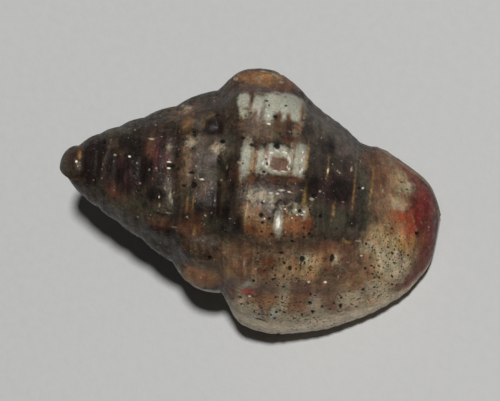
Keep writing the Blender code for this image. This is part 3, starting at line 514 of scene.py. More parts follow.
def grown(angle):
    # the shell's size at this angle, next to its size at angle 0
    return shell["growthPerTurn"] ** (angle / 360.0)


def seamStep(angle):
    # how far along the outline the next whorl begins
    drop = shell["lastDrop"] * smooth((angle + 60.0) / 200.0)
    return steps[seam] + (steps[underSeam] - steps[seam]) * drop


def flatterWhorls(angle, at):
    # how much less the whorls of the spire bulge than the last one
    outline = shell["bodyOutline"]
    first, last = outline[0], outline[seam]
    slope = (last[1] - first[1]) / (last[0] - first[0])
    bulge = [max(r - first[1] - slope * (along - first[0]), 0.0) for along, r in outline]
    bulge[seam:] = [0.0] * len(bulge[seam:])
    fade = smooth((angle - shell["flatUntil"]) / (shell["bulgingFrom"] - shell["flatUntil"]))
    return shell["spireFlattened"] * (1.0 - fade) * np.maximum(curveThrough(bulge, at), 0.0)


def ribRelief(angle, at):
    # how far each place lies below the crests of the ribs
    turn = (angle - shell["ribCrestAngle"]) / 360.0 * shell["ribsPerTurn"]
    valley = 0.5 - 0.5 * np.cos(2 * np.pi * turn)
    across = smooth(at / steps[shoulder]) * 0.7 + 0.3
    across = across * (1.0 - ramp(at, base - 1, neck))
    age = 1.0 - shell["spireRibsLower"] * smooth((shell["bulgingFrom"] - angle) / 180.0)
    age = age * (1.0 - smooth((shell["lipAngle"] - 720.0 - angle) / 900.0))
    nearLip = 1.0 - smooth((angle - 35.0) / 50.0)
    covered = ramp(at, seam, base) * (1.0 - smooth((angle - mouthAngle - 10.0) / 40.0))
    return shell["ribDepth"] * grown(angle) * valley * across * age * nearLip * (1.0 - covered)


def openSurface(angle, at, flatter=1.0):
    # the smooth outside of one whorl, by angle round the axis and step along the outline
    angle, at = np.broadcast_arrays(np.asarray(angle, float), np.asarray(at, float))
    grownOver = smooth((mouthAngle - 10.0 - angle) / 130.0)
    scaled = 1.0 - ramp(at, base, knob) * (1.0 - grownOver)
    bodyScale = grown((angle - shell["bodyAngle"]) * scaled)
    sideScale = grown((angle - shell["sideAngle"]) * scaled)
    first, last = shell["spread"]
    spread = smooth((angle - first) / (last - first))
    body = [bodyScale * curveThrough([p[k] for p in shell["bodyOutline"]], at) for k in (0, 1)]
    side = [sideScale * curveThrough([p[k] for p in shell["sideOutline"]], at) for k in (0, 1)]
    along = body[0] + (side[0] - body[0]) * spread - shell["apexGap"]
    radius = body[1] + (side[1] - body[1]) * spread
    radius = radius - bodyScale * flatterWhorls(angle, at) * flatter
    slimmer = shell["spireSlimmed"] / (along + shell["apexGap"]) * (1.0 - smooth((along - 7.0) / 4.0))
    radius = radius * (1.0 - slimmer) - ribRelief(angle, at)
    flared = smooth((angle - shell["flareStart"]) / (shell["lipAngle"] - shell["flareStart"]))
    flared = flared - shell["flareDip"] * smooth(angle / shell["flareStart"])
    radius = radius * (1.0 + curveThrough(shell["flare"], at) * flared)
    pillar = 1.0 - smooth((angle - mouthAngle - 15.0) / 85.0)
    radius = radius * (1.0 - shell["pillarHollow"] * ramp(at, underSeam, neck) * pillar)
    beyond = angle - mouthAngle
    twist = 1.0 - smooth(np.where(beyond > 0.0, beyond / 132.0, -beyond / 150.0))
    swept = shell["lipSweep"] * ramp(at, base, spout) * smooth(angle / shell["lipAngle"])
    turned = np.radians(angle + shell["pillarTwist"] * ramp(at, base, knob) * twist - swept)
    under = smooth(1.0 - np.abs(angle - shell["undersideAngle"]) / shell["undersideReach"])
    lowered = shell["flattened"] + shell["undersideFlattened"] * under
    height = 1.0 - lowered * smooth((along - 4.0) / 8.0)
    up = radius * np.cos(turned) * height - shell["canalDrop"] * smooth((along - 14.0) / 10.0)
    lean = shell["spireLean"] * (1.0 - smooth(along / 12.0))
    place = np.stack([along, lean - radius * np.sin(turned), up], axis=-1)
    toTip = ramp(at, spout, len(steps) - 1)[..., None] ** 2
    return place + (np.array(shell["canalTip"]) - place) * toTip


def surface(angle, at, flatter=1.0):
    # the same, with the top of the whorl drawn up to the seam
    angle, at = np.broadcast_arrays(np.asarray(angle, float), np.asarray(at, float))
    gap = openSurface(angle - 360.0, seamStep(angle)) - openSurface(angle, 0.0 * at)
    reach = np.clip(1.0 - at / steps[seam], 0.0, 1.0) ** 2
    return openSurface(angle, at, flatter) + gap * reach[..., None]


def surfaceNormal(angle, at, flatter=1.0):
    # the way out of the shell
    low, high = np.clip(at - 1e-3, 0.0, 1.0), np.clip(at + 1e-3, 0.0, 1.0)
    across = surface(angle, high, flatter) - surface(angle, low, flatter)
    around = surface(angle + 0.5, at, flatter) - surface(angle - 0.5, at, flatter)
    normal = np.cross(around, across)
    return normal / np.maximum(np.linalg.norm(normal, axis=-1, keepdims=True), 1e-9)


def lumpy(points, size, seed):
    # soft noise from -1 to 1, at each point
    shifted = points / size + seed
    return np.array([noise.noise(Vector(p)) for p in shifted.reshape(-1, 3)]).reshape(points.shape[:-1])


def bossHeight(place):
    # low bosses on the back, some with a hollow top
    height = np.zeros(place.shape[:-1])
    for along, side, halfLong, halfWide, tall, hollow in relief["bosses"]:
        far = np.hypot((place[..., 0] - along) / halfLong, (place[..., 1] - side) / halfWide)
        boss = np.exp(-np.maximum(far - 0.45, 0.0) ** 2 * 5.0) - hollow * 0.8 * np.exp(-(far / 0.5) ** 2)
        height += tall * boss * (place[..., 2] > 0.0)
    return height


def pitDistance(place):
    # how far each point is from the nearest pit's rim, negative inside it
    nearest = np.full(place.shape[:-1], 1.0)
    for along, side, halfLong, halfWide in pits:
        if halfLong < pitLimit and halfWide < pitLimit:
            continue
        far = np.hypot((place[..., 0] - along) / halfLong, (place[..., 1] - side) / halfWide) - 1.0
        nearest = np.where(place[..., 2] > 0.0, np.minimum(nearest, far * min(halfLong, halfWide)), nearest)
    return nearest


def fineRelief(angle, at, place, seamAt):
    # what stands out of, or lies below, the CAD solid's smooth surface
    size = grown(angle)
    phase = at * outlineLength / relief["cordSpacing"]
    onBase = ramp(at, underSeam, neck)
    cord = (0.5 + 0.5 * np.cos(2 * np.pi * phase)) ** 1.5 - 0.4
    strength = relief["cordHeight"] + (relief["baseCordHeight"] - relief["cordHeight"]) * onBase
    wearSize, average, varies = relief["wear"]
    worn = average + varies * lumpy(place, wearSize, 4.0)
    height = cord * strength * worn * (1.0 - ramp(at, knob, spout))
    turned, broken = angle / relief["growthLineDegrees"], at * relief["growthLineBreaks"]
    lines = lumpy(np.stack([turned, broken, 0.0 * at], axis=-1), 1.0, 11.0)
    height = height + relief["growthLineHeight"] * lines * (1.0 + 1.5 * smooth((angle - 40.0) / 50.0))
    for k, (width, tall) in enumerate(relief["lumps"]):
        height = height + tall * lumpy(place, width, 20.0 + 7.0 * k)
    middle, halfWidth, tall = relief["varix"]
    height = height + tall * np.exp(-((angle - middle) / halfWidth) ** 2) * (1.0 - ramp(at, knob, spout))
    height = height * size + bossHeight(place)
    height = height - relief["pitDepth"] * smooth(-pitDistance(place) / relief["pitEdge"] + 0.3)
    nearSeam = np.minimum(at, np.where(at <= seamAt, seamAt - at, 1.0)) * outlineLength
    wavy = 1.0 + 0.5 * lumpy(place, 1.2, 50.0)
    deeper = 0.3 + 0.7 * smooth((angle + 480.0) / 120.0)
    groove = np.exp(-(nearSeam / relief["seamWidth"]) ** 2)
    height = height - relief["seamGroove"] * size * deeper * groove * wavy
    inMouth = smooth((angle - mouthAngle - 2.0) / 25.0)
    height = height * np.where(at > seamAt, inMouth, 1.0)
    return height * smooth((shell["lipAngle"] - angle) / 3.0) * smooth(angle / 200.0 + 11.6)


def hollowFloor(depth, wallEnd, beforeEnd):
    # the bottom of the canal near the lip, which runs into the end of the wall further in
    turned = math.radians(np.interp(depth, shell["floorDepths"], shell["floorAngle"]))
    radius = np.interp(depth, shell["floorDepths"], shell["floorRadius"])
    canal = np.array([np.interp(depth, shell["floorDepths"], shell["floorAlong"]),
                      -radius * math.sin(turned), radius * math.cos(turned) - shell["canalDrop"]])
    return canal + ((wallEnd + beforeEnd) / 2 - canal) * smooth((depth - 50.0) / 90.0)


def toothRelief(depth, at):
    # a row of low teeth a little inside the lip
    across = (at - steps[waist]) / (steps[spout - 1] - steps[waist])
    comb = (0.5 - 0.5 * np.cos(2 * np.pi * shell["toothCount"] * across)) * (across > 0) * (across < 1)
    along = smooth((depth - 2.0) / 4.0) * (1.0 - smooth((depth - 10.0) / 12.0))
    return shell["toothHeight"] * comb * along


def wallInside(depth, at):
    # the inner face of the outer wall, thin at the lip's edge and evened out between the ribs
    angle = shell["lipAngle"] - depth
    edge = np.sqrt(1.0 - (1.0 - min(depth / shell["lipRoundAngle"], 1.0)) ** 2)
    thick = shell["wall"] + (shell["lipWall"] - shell["wall"]) * (1.0 - smooth((depth - 12.0) / 30.0))
    thick = thick * grown(-depth) * (1.0 - 0.45 * ramp(at, knob, spout))
    level = 0.8 * shell["ribDepth"] * smooth(depth / 60.0) * grown(angle)
    fill = level * (1.0 - ramp(at, base, neck)) - ribRelief(angle, at) * smooth(depth / 60.0)
    thick = (thick + fill) * edge + toothRelief(depth, at)
    return surface(angle, at, 0.0) - surfaceNormal(angle, at, 0.0) * thick[:, None]


def hollowCorner(depth):
    # where the inner face of the wall meets the whorl before, as a step along each of the two
    angle = shell["lipAngle"] - depth
    seamAt = seamStep(angle)
    onWall = np.linspace(0.0, steps[waist + 1], 120)
    onBefore = np.linspace(seamAt, steps[neck], 120)
    wall = wallInside(depth, onWall)
    before = surface(angle - 360.0, onBefore)
    beforeRadius = np.interp(wall[:, 0], before[:, 0], np.hypot(before[:, 1], before[:, 2]))
    clear = np.hypot(wall[:, 1], wall[:, 2]) - beforeRadius
    inside = np.flatnonzero((clear < 0.0) | (wall[:, 0] < before[0, 0]))
    first = onWall[inside[-1]] if len(inside) else 0.0
    along = wallInside(depth, np.array([first]))[0, 0]
    return first, max(np.interp(along, before[:, 0], onBefore), seamAt)


def hollowRing(depth):
    # one ring round the hollow: down the wall, over the floor and back up the whorl before
    angle = shell["lipAngle"] - depth
    onWall, onBefore = hollowCorner(depth)
    lipSeam = seamStep(shell["lipAngle"])
    deepest = 1.0 + (steps[neck] - 1.0) * smooth(depth / 130.0)
    rows = np.concatenate([lipSeam * np.linspace(0.0, 1.0, shell["seamRows"] + 1),
                           np.linspace(lipSeam, 1.0, shell["baseRows"] + 1)[1:]])
    outerAt = onWall + rows * (deepest - onWall)
    innerAt = np.linspace(deepest, onBefore, shell["baseRows"] + 1)
    outer = wallInside(depth, outerAt)
    inner = surface(angle - 360.0, innerAt)
    floorPoint = hollowFloor(depth, outer[-1], inner[0])
    nearEnd = smooth((rows - shell["floorBend"]) / (1.0 - shell["floorBend"])) * smooth(depth / 45.0)
    outer += (floorPoint - outer) * nearEnd[:, None]
    nearEnd = smooth(1.0 - np.linspace(0.0, 1.0, shell["baseRows"] + 1) / 0.25) * smooth(depth / 45.0)
    inner += (floorPoint - inner) * nearEnd[:, None]
    outer[-1] = floorPoint
    outer[0] = inner[-1]
    at = np.concatenate([outerAt, innerAt[1:-1]])
    onPillar = np.concatenate([0.0 * outerAt, 0.0 * innerAt[1:-1] + 1.0])
    return np.concatenate([outer, inner[1:-1]]), at, onPillar


def restTurn():
    # tips the apex up and rolls the shell, the way it lies
    tilt, roll = math.radians(shell["apexUp"]), math.radians(shell["roll"])
    return np.array(Matrix.Rotation(tilt, 3, "Y") @ Matrix.Rotation(roll, 3, "X"))


def restShift(smoothPoints):
    # from the shell's own axes, once turned, to where the CAD solid is
    turned = smoothPoints @ restTurn().T
    low, high = turned.min(axis=0), turned.max(axis=0)
    cadLow, cadHigh = (np.array(corner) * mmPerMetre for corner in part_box("shell"))
    shift = (cadLow + cadHigh - low - high) / 2
    shift[2] = cadLow[2] - low[2] - shell["wornFlat"]
    return shift, cadLow[2]


def layDown(points, smoothPoints):
    # turns the shell to the way it lies, and wears off what would be under the ground
    shift, ground = restShift(smoothPoints)
    points = points @ restTurn().T + shift
    points[:, 2] = np.maximum(points[:, 2], ground)
    return points / mmPerMetre


def outsideGrid():
    # the angles of the columns, and the steps of their points
    perTurn, seamRows, baseRows = shell["columnsPerTurn"], shell["seamRows"], shell["baseRows"]
    count = int(round(shell["turns"] * perTurn))
    angles = shell["lipAngle"] - (count - np.arange(count + 1)) * 360.0 / perTurn
    seamAt = seamStep(np.minimum(angles + 360.0, shell["lipAngle"]))
    spireAt = seamAt[:, None] * np.linspace(0.0, 1.0, seamRows + 1)
    lastSeam = seamAt[-perTurn - 1:, None]
    baseAt = lastSeam + (1.0 - lastSeam) * np.linspace(0.0, 1.0, baseRows + 1)[1:]
    return angles, seamAt, spireAt, baseAt


def placeSpire(angles, seamAt, spireAt):
    # every whorl from its upper seam to its lower one, with the first turn closed to a dome
    perTurn = shell["columnsPerTurn"]
    angle = angles[:, None] + 0.0 * spireAt
    place = openSurface(angle, spireAt)
    seamPlace = openSurface(angles, seamAt)
    dome = smooth(np.arange(perTurn) / perTurn)[:, None]
    seamPlace[:perTurn] *= dome
    reach = (1.0 - spireAt / seamAt[:, None]) ** 2
    place[perTurn:] += (seamPlace[:-perTurn] - place[perTurn:, 0])[:, None, :] * reach[perTurn:, :, None]
    x = np.linspace(0.0, 1.0, spireAt.shape[1])[:, None]
    bend = np.concatenate([1.0 - np.cos(x * np.pi / 2), np.sin(x * np.pi / 2)], axis=1)[:, [0, 1, 1]]
    place[:perTurn] = seamPlace[:perTurn, None, :] * bend
    return place


def gridNormals(place):
    # the way out at each point of a grid
    normal = np.cross(np.gradient(place, axis=0), np.gradient(place, axis=1))
    return normal / np.maximum(np.linalg.norm(normal, axis=-1, keepdims=True), 1e-9)


class Loft:
    # collects points, what each of them is called later, and faces
    def __init__(self):
        self.points, self.smoothPoints, self.notes, self.faces = [], [], [], []

    def add(self, points, smoothPoints, notes):
        first = len(self.points)
        self.points.extend(points)
        self.smoothPoints.extend(smoothPoints)
        self.notes.extend(notes)
        return list(range(first, len(self.points)))

    def strip(self, left, right):
        for i in range(len(left) - 1):
            corners = [left[i], right[i], right[i + 1], left[i + 1]]
            corners = [c for k, c in enumerate(corners) if c != corners[k - 1]]
            if len(corners) > 2:
                self.faces.append(corners)


def raised(angles, at, place, seamAt, normal):
    # smooth whorls with the fine relief added
    return place + normal * fineRelief(angles[:, None] + 0 * at, at, place, seamAt[:, None])[..., None]


def outsideColumns():
    # one column of smooth places, raised places and steps for each angle, from the apex to the lip
    perTurn = shell["columnsPerTurn"]
    angles, seamAt, spireAt, baseAt = outsideGrid()
    spire = placeSpire(angles, seamAt, spireAt)
    lastTurn = angles[-perTurn - 1:]
    lowest = openSurface(lastTurn[:, None], baseAt)
    print("smooth whorls placed")
    whole = np.concatenate([spire[-perTurn - 1:], lowest], axis=1)
    wholeAt = np.concatenate([spireAt[-perTurn - 1:], baseAt], axis=1)
    wholeNormal = gridNormals(whole)
    wholeNormal[:, -6:] = wholeNormal[:, -7:-6]
    spireOut = raised(angles, spireAt, spire, seamAt, gridNormals(spire))
    wholeOut = raised(lastTurn, wholeAt, whole, seamAt[-perTurn - 1:], wholeNormal)
    wholeOut[:, -1] = shell["canalTip"]
    print("fine relief added")
    onSpire = len(angles) - len(lastTurn)
    return angles, [*zip(spire[:onSpire], spireOut, spireAt), *zip(whole, wholeOut, wholeAt)]


def layOutside(loft):
    # the outside, where each column begins on the seam of the whorl before and the last turn ends at the tip
    perTurn, seamRows = shell["columnsPerTurn"], shell["seamRows"]
    angles, columns = outsideColumns()
    start = columns[0][0][:1]
    apex = loft.add(start, start, [(angles[0], 0.0, 0.0, 0.0)])[0]
    grid = [[apex] * (seamRows + 1)]
    tip = None
    for j in range(1, len(angles)):
        top = apex if j < perTurn else grid[j - perTurn][seamRows]
        smoothPlaces, places, column = columns[j]
        notes = [(angles[j], at, 0.0, 0.0) for at in column]
        if j < len(angles) - 1 - perTurn:
            grid.append([top] + loft.add(places[1:], smoothPlaces[1:], notes[1:]))
            continue
        if tip is None:
            tip = loft.add(places[-1:], smoothPlaces[-1:], notes[-1:])[0]
        grid.append([top] + loft.add(places[1:-1], smoothPlaces[1:-1], notes[1:-1]) + [tip])
    for left, right in zip(grid, grid[1:]):
        shared = min(len(left), len(right))
        loft.strip(left[:shared], right[:shared])
    return grid


def layInside(loft, ring):
    # the hollow, ring after ring from the lip inwards, and closed at its end
    deep = np.arange(shell["lipDepths"][-1] + shell["hollowStep"], shell["hollowDepth"], shell["hollowStep"])
    for depth in (*shell["lipDepths"], *deep):
        points, at, onPillar = hollowRing(depth)
        notes = [(shell["lipAngle"] - depth, a, depth, 1.0 + p) for a, p in zip(at, onPillar)]
        deeper = loft.add(points, points, notes)
        loft.strip(ring + ring[:1], deeper + deeper[:1])
        ring = deeper
    last = np.array([loft.points[i] for i in ring])
    middle = last.mean(axis=0)
    halfway = (last + middle) / 2
    small = loft.add(halfway, halfway, [notes[0]] * len(last))
    loft.strip(ring + ring[:1], small + small[:1])
    end = loft.add([middle], [middle], [notes[0]])[0]
    for i, corner in enumerate(small):
        loft.faces.append([corner, end, small[(i + 1) % len(small)]])


def makeLoft():
    # the outside, and the inside from the ring of the lip and the inner lip
    loft = Loft()
    grid = layOutside(loft)
    lip, innerLip = grid[-1], grid[-1 - shell["columnsPerTurn"]]
    layInside(loft, lip + innerLip[shell["seamRows"] + 1:-1][::-1])
    print("shell mesh laid out:", len(loft.points), "points,", len(loft.faces), "faces")
    return loft


def addAttribute(mesh, name, values):
    # a number or a place for each point, which the materials read
    kind, field = ("FLOAT_VECTOR", "vector") if values.ndim == 2 else ("FLOAT", "value")
    made = mesh.attributes.new(name, kind, "POINT")
    made.data.foreach_set(field, values.astype(np.float32).ravel())


def isSmall(mark):
    # too small for the mesh, so that the shader draws it
    return min(mark[2], mark[3]) < shaderLimit


def markField(place, listed):
    # how far inside the nearest mark each point is, in millimetres, negative outside
    field = np.full(len(place), -1.0)
    for mark in listed:
        if isSmall(mark):
            continue
        along, side, halfLong, halfWide = mark[:4]
        turn = math.radians(mark[4]) if len(mark) > 4 else 0.0
        x, y = place[:, 0] - along, place[:, 1] - side
        u = (x * math.cos(turn) + y * math.sin(turn)) / halfLong
        v = (y * math.cos(turn) - x * math.sin(turn)) / halfWide
        far = (np.abs(u) ** 2.6 + np.abs(v) ** 2.6) ** (1 / 2.6)
        field = np.maximum(field, (1.0 - far) * min(halfLong, halfWide))
    return field


# Where the back, the lip's outer side and the mouth's glaze are. A facing is in degrees round from the
# back, and is given by its start, rise, end and fall.
sides = {
    "backHeight": (-0.3, 1.2),
    # the lip side is painted paler, partly as painted light, and the rim is a thin band along the lip's
    # outline with a pale edge and a painted highlight
    "lipFacing": (45.0, 40.0, 170.0, 50.0),
    "rimFacing": (76.0, 12.0, 112.0, 14.0),
    "lipAlong": (6.5, 3.0),
    "callusEnd": (26.0, 10.0),  # degrees past the mouth's inner edge
    "pillarEnd": (120.0, 60.0),  # degrees in from the lip
}

# The guessed colours of the sides that don't show. Ribs are given by the angles of their crests, with the
# half width of their patches in degrees and where those start and end. Patches down the lip's outer side
# are given by where they are, half length and half height, and those of the ground by where they start
# and end along a noise.
hidden = {
    "ribs": {"cream": ((-107, -167, -200), 9.0, 12.0, 16.1), "orange": ((-137, -185), 11.0, 11.8, 16.4)},
    "startsLater": 0.0215,
    "endsLater": 0.024,
    "lip": {"buff": ((9.5, 13.0, 16.5, 20.5), 1.3, 3.5), "russet": ((8.0, 11.3, 14.9, 18.6), 1.3, 3.4),
            "chalk": ((10.0, 17.0), 0.7, 2.0)},
    "lipHeight": -0.6,
    "lipAngle": 60.0,
    "lipPerDegree": 0.12,
    "baseAlong": 16.4,
    "tanAlong": 20.0,
    "maroonAlong": 20.6,
    "patches": (("russet", 0.5, 0.6, "other"), ("tan", 0.56, 0.66, "broad"), ("grey", 0.58, 0.68, "middle")),
    "patchStrength": 0.6,
}


def ribField(angle, place, crests, halfWidth, alongFrom, alongTo):
    # how far inside a patch on one of these ribs each point is
    field = np.full(len(place), -1.0)
    radius = np.hypot(place[:, 1], place[:, 2])
    for crest in crests:
        wide = (halfWidth - np.abs(angle - crest)) * math.pi / 180.0 * radius
        low, high = alongFrom + hidden["startsLater"] * angle, alongTo + hidden["endsLater"] * angle
        field = np.maximum(field, np.minimum(wide, np.minimum(place[:, 0] - low, high - place[:, 0])))
    drips = lumpy(np.stack([place[:, 0] * 0.5, radius * 0.5, angle * 0.35], axis=-1), 0.8, 4)
    return np.maximum(field + 0.5 * drips + 0.25 * lumpy(place, 0.7, 9), -1.0)


def lipField(place, along, halfAlong, halfDown):
    # how far inside a row of patches down the lip's outer side each point is
    field = np.full(len(place), -1.0)
    for middle in along:
        far = np.hypot((place[:, 0] - middle) / halfAlong, (place[:, 2] - hidden["lipHeight"]) / halfDown)
        field = np.maximum(field, (1.0 - far) * halfAlong)
    return field + 0.3 * lumpy(place, 0.8, 12)


def unseenFields(angle, place):
    # how far inside the colours of the hidden sides each point is
    onLip = np.minimum((angle - hidden["lipAngle"]) * hidden["lipPerDegree"], 1.0)
    fields = {kind: ribField(angle, place, *patches) for kind, patches in hidden["ribs"].items()}
    for kind, patches in hidden["lip"].items():
        fields[kind] = np.minimum(onLip, lipField(place, *patches))
    fields["base"] = place[:, 0] - hidden["baseAlong"] - hidden["endsLater"] * angle
    fields["tan"] = np.maximum(place[:, 0] - hidden["tanAlong"], onLip)
    fields["maroon"] = np.minimum(onLip, place[:, 0] - hidden["maroonAlong"])
    fields["dotted"] = onLip
    return fields


def noteMarks(mesh, angle, place, back):
    # how far inside a mark of each kind the points are
    unseen = unseenFields(angle, place)
    for kind, listed in marks.items():
        field = markField(place, listed)
        elsewhere = np.clip(unseen.get(kind, -1.0 + 0.0 * field), -1.0, 1.0)
        addAttribute(mesh, kind, field * back + elsewhere * (1.0 - back))


def noteLip(mesh, place):
    # the lip's outer side and its rim, by how far round from the back they face
    facing = np.degrees(np.arctan2(-place[:, 1], place[:, 2]))
    first, rise = sides["lipAlong"]
    pastSpire = smooth((place[:, 0] - first) / rise)
    # the lip side gets a paler colour that is partly painted light; the rim gets a pale edge with a painted
    # highlight
    addAttribute(mesh, "lip side", window(facing, *sides["lipFacing"]) * pastSpire)
    addAttribute(mesh, "lip rim", window(facing, *sides["rimFacing"]) * pastSpire)


def noteMouth(mesh, angle, at, depth, inside):
    # depth from the lip, the teeth and the pillar with its callus, and which points are glazed
    addAttribute(mesh, "depth", depth)
    teeth = np.array([toothRelief(d, a) if 0.0 < i < 1.5 else 0.0 for d, a, i in zip(depth, at, inside)])
    addAttribute(mesh, "teeth", teeth / shell["toothHeight"])
    lowest = at > seamStep(np.minimum(angle + 360.0, shell["lipAngle"])) + 0.001
    end, fall = sides["callusEnd"]
    callus = smooth((mouthAngle + end - angle) / fall) * lowest * (depth == 0.0)
    end, fall = sides["pillarEnd"]
    addAttribute(mesh, "pillar", np.maximum(callus, (inside > 1.5) * smooth((end - depth) / fall)))
    return (depth > 0.0) | (callus > 0.5)


def glazeFaces(mesh, glazed):
    # the second material goes on the faces with all corners glazed
    corners = np.zeros(len(mesh.loops), np.int32)
    mesh.loops.foreach_get("vertex_index", corners)
    starts = np.zeros(len(mesh.polygons), np.int32)
    mesh.polygons.foreach_get("loop_start", starts)
    mesh.polygons.foreach_set("material_index", np.minimum.reduceat(glazed[corners].astype(np.int32), starts))


def buildShell():
    loft = makeLoft()
    place = np.array(loft.smoothPoints)
    angle, at, depth, inside = np.array(loft.notes).T
    mesh = bpy.data.meshes.new("shell")
    mesh.from_pydata(layDown(np.array(loft.points), place).tolist(), [], loft.faces)
    mesh.shade_smooth()
    addAttribute(mesh, "place", place)
    along, turned = at * outlineLength * grown(angle), np.radians(angle)
    addAttribute(mesh, "spiral", np.stack([along, np.cos(turned), np.sin(turned)], axis=-1))
    lowest, rise = sides["backHeight"]
    back = smooth((place[:, 2] - lowest) / rise) * (depth == 0.0)
    addAttribute(mesh, "back", back)
    noteLip(mesh, place)
    noteMarks(mesh, angle, place, back)
    glazeFaces(mesh, noteMouth(mesh, angle, at, depth, inside))
    piece = bpy.data.objects.new("shell", mesh)
    bpy.context.scene.collection.objects.link(piece)
    return piece


def toLinear(colour):
    # from 0 to 255 as on a screen, to a shader's colour
    parts = np.array(colour) / 255.0
    return (*np.where(parts < 0.04045, parts / 12.92, ((parts + 0.055) / 1.055) ** 2.4).tolist(), 1.0)


class Wiring:
    # short ways to add nodes to a node tree
    def __init__(self, tree):
        self.tree = tree

    def feed(self, node, inputs):
        for name, value in dict(inputs).items():
            if hasattr(value, "links"):
                self.tree.links.new(value, node.inputs[name])
            else:
                node.inputs[name].default_value = value

    def add(self, kind, inputs=(), **settings):
        made = self.tree.nodes.new(kind)
        for name, value in settings.items():
            setattr(made, name, value)
        self.feed(made, inputs)
        return made

    def vector(self, operation, *values):
        made = self.add("ShaderNodeVectorMath", enumerate(values), operation=operation)
        return made.outputs["Value" if operation in ("LENGTH", "DOT_PRODUCT") else "Vector"]

    def attribute(self, name, output="Fac"):
        return self.add("ShaderNodeAttribute", attribute_name=name).outputs[output]

    def maths(self, operation, *values):
        return self.add("ShaderNodeMath", enumerate(values), operation=operation).outputs[0]

    def mix(self, factor, first, second, blend="MIX"):
        inputs = {0: factor, 6: first, 7: second}
        return self.add("ShaderNodeMix", inputs, data_type="RGBA", blend_type=blend).outputs[2]

    def noise(self, place, scale, detail=3.0, rough=0.55, twist=0.0):
        inputs = {"Vector": place, "Scale": scale, "Detail": detail, "Roughness": rough, "Distortion": twist}
        return self.add("ShaderNodeTexNoise", inputs).outputs["Fac"]

    def between(self, value, low, high):
        inputs = {"Value": value, "From Min": low, "From Max": high}
        return self.add("ShaderNodeMapRange", inputs, interpolation_type="SMOOTHSTEP").outputs["Result"]

    def group(self, tree, inputs):
        return self.add("ShaderNodeGroup", inputs, node_tree=tree).outputs

    def spots(self, place, scale):
        return self.add("ShaderNodeTexVoronoi", {"Vector": place, "Scale": scale}).outputs["Distance"]

    def over(self, colour, mask, strength, tone):
        return self.mix(self.maths("MULTIPLY", mask, strength), colour, tone)

    def shaded(self, colour, shade):
        return self.add("ShaderNodeHueSaturation", {"Value": shade, "Color": colour}).outputs["Color"]

    def bump(self, height, depth):
        inputs = {"Height": height, "Distance": depth, "Strength": 1.0}
        return self.add("ShaderNodeBump", inputs).outputs["Normal"]


def newMaterial(name):
    material = bpy.data.materials.new(name)
    material.use_nodes = True
    return material, Wiring(material.node_tree), material.node_tree.nodes["Principled BSDF"]


def newGroup(name, inputs, outputs):
    tree = bpy.data.node_groups.new(name, "ShaderNodeTree")
    for label, kind in inputs.items():
        tree.interface.new_socket(label, in_out="INPUT", socket_type="NodeSocket" + kind)
    for label, kind in outputs.items():
        tree.interface.new_socket(label, in_out="OUTPUT", socket_type="NodeSocket" + kind)
    wire = Wiring(tree)
    return tree, wire, wire.add("NodeGroupInput").outputs, wire.add("NodeGroupOutput").inputs


def raggedEdge():
    # turns the distance inside a mark into a mask with an uneven edge
    tree, wire, given, result = newGroup(
        "ragged edge", {"Inside": "Float", "Noise": "Float", "Raggedness": "Float", "Softness": "Float"},
        {"Mask": "Float"})
    uneven = wire.maths("MULTIPLY", wire.maths("SUBTRACT", given["Noise"], 0.5), given["Raggedness"])
    moved = wire.maths("MULTIPLY_ADD", uneven, 4.0, given["Inside"])
    low = wire.maths("MULTIPLY", given["Softness"], -1.0)
    tree.links.new(wire.between(moved, low, given["Softness"]), result["Mask"])
    return tree


def smallMarks(name, listed):
    # how far inside the nearest of these small ovals a place is, in millimetres
    tree, wire, given, result = newGroup(name, {"Place": "Vector"}, {"Inside": "Float"})
    nearest = None
    for mark in listed:
        along, side, halfLong, halfWide = mark[:4]
        small = min(halfLong, halfWide)
        if len(mark) > 4:
            turn = math.radians(mark[4])
            cosine, sine = math.cos(turn) * small, math.sin(turn) * small
            axes = (cosine / halfLong, sine / halfLong, 0.0), (-sine / halfWide, cosine / halfWide, 0.0)
            parts = [wire.vector("DOT_PRODUCT", given["Place"], axis) for axis in axes]
            turned = wire.add("ShaderNodeCombineXYZ", enumerate(parts)).outputs["Vector"]
            centre = tuple(along * axis[0] + side * axis[1] for axis in axes) + (0.0,)
            scaled = wire.vector("SUBTRACT", turned, centre)
        else:
            scale = (small / halfLong, small / halfWide, 0.0)
            moved = (-along * scale[0], -side * scale[1], 0.0)
            scaled = wire.vector("MULTIPLY_ADD", given["Place"], scale, moved)
        inside = wire.maths("SUBTRACT", small, wire.vector("LENGTH", scaled))
        nearest = inside if nearest is None else wire.maths("MAXIMUM", nearest, inside)
    tree.links.new(nearest, result["Inside"])
    return tree


# The fine grain that both finishes share, with noises given by scale in waves to a millimetre, detail and
# roughness
grain = {
    "lumps": (1.6, 6.0, 0.62),
    "fine": (7.0, 4.0, 0.6),
    "fineHeight": 0.45,
    "shade": (0.8, 0.4),  # least, and how much the fine noise adds
}


def grainGroup():
    # lumps and scratches, as a height and as a change of shade
    tree, wire, given, result = newGroup("shell grain", {"Place": "Vector"},
                                         {"Height": "Float", "Shade": "Float"})
    lumps = wire.noise(given["Place"], *grain["lumps"])
    fine = wire.noise(given["Place"], *grain["fine"])
    tree.links.new(wire.maths("MULTIPLY_ADD", fine, grain["fineHeight"], lumps), result["Height"])
    least, added = grain["shade"]
    tree.links.new(wire.maths("MULTIPLY_ADD", wire.between(fine, 0.3, 0.7), added, least), result["Shade"])
    return tree


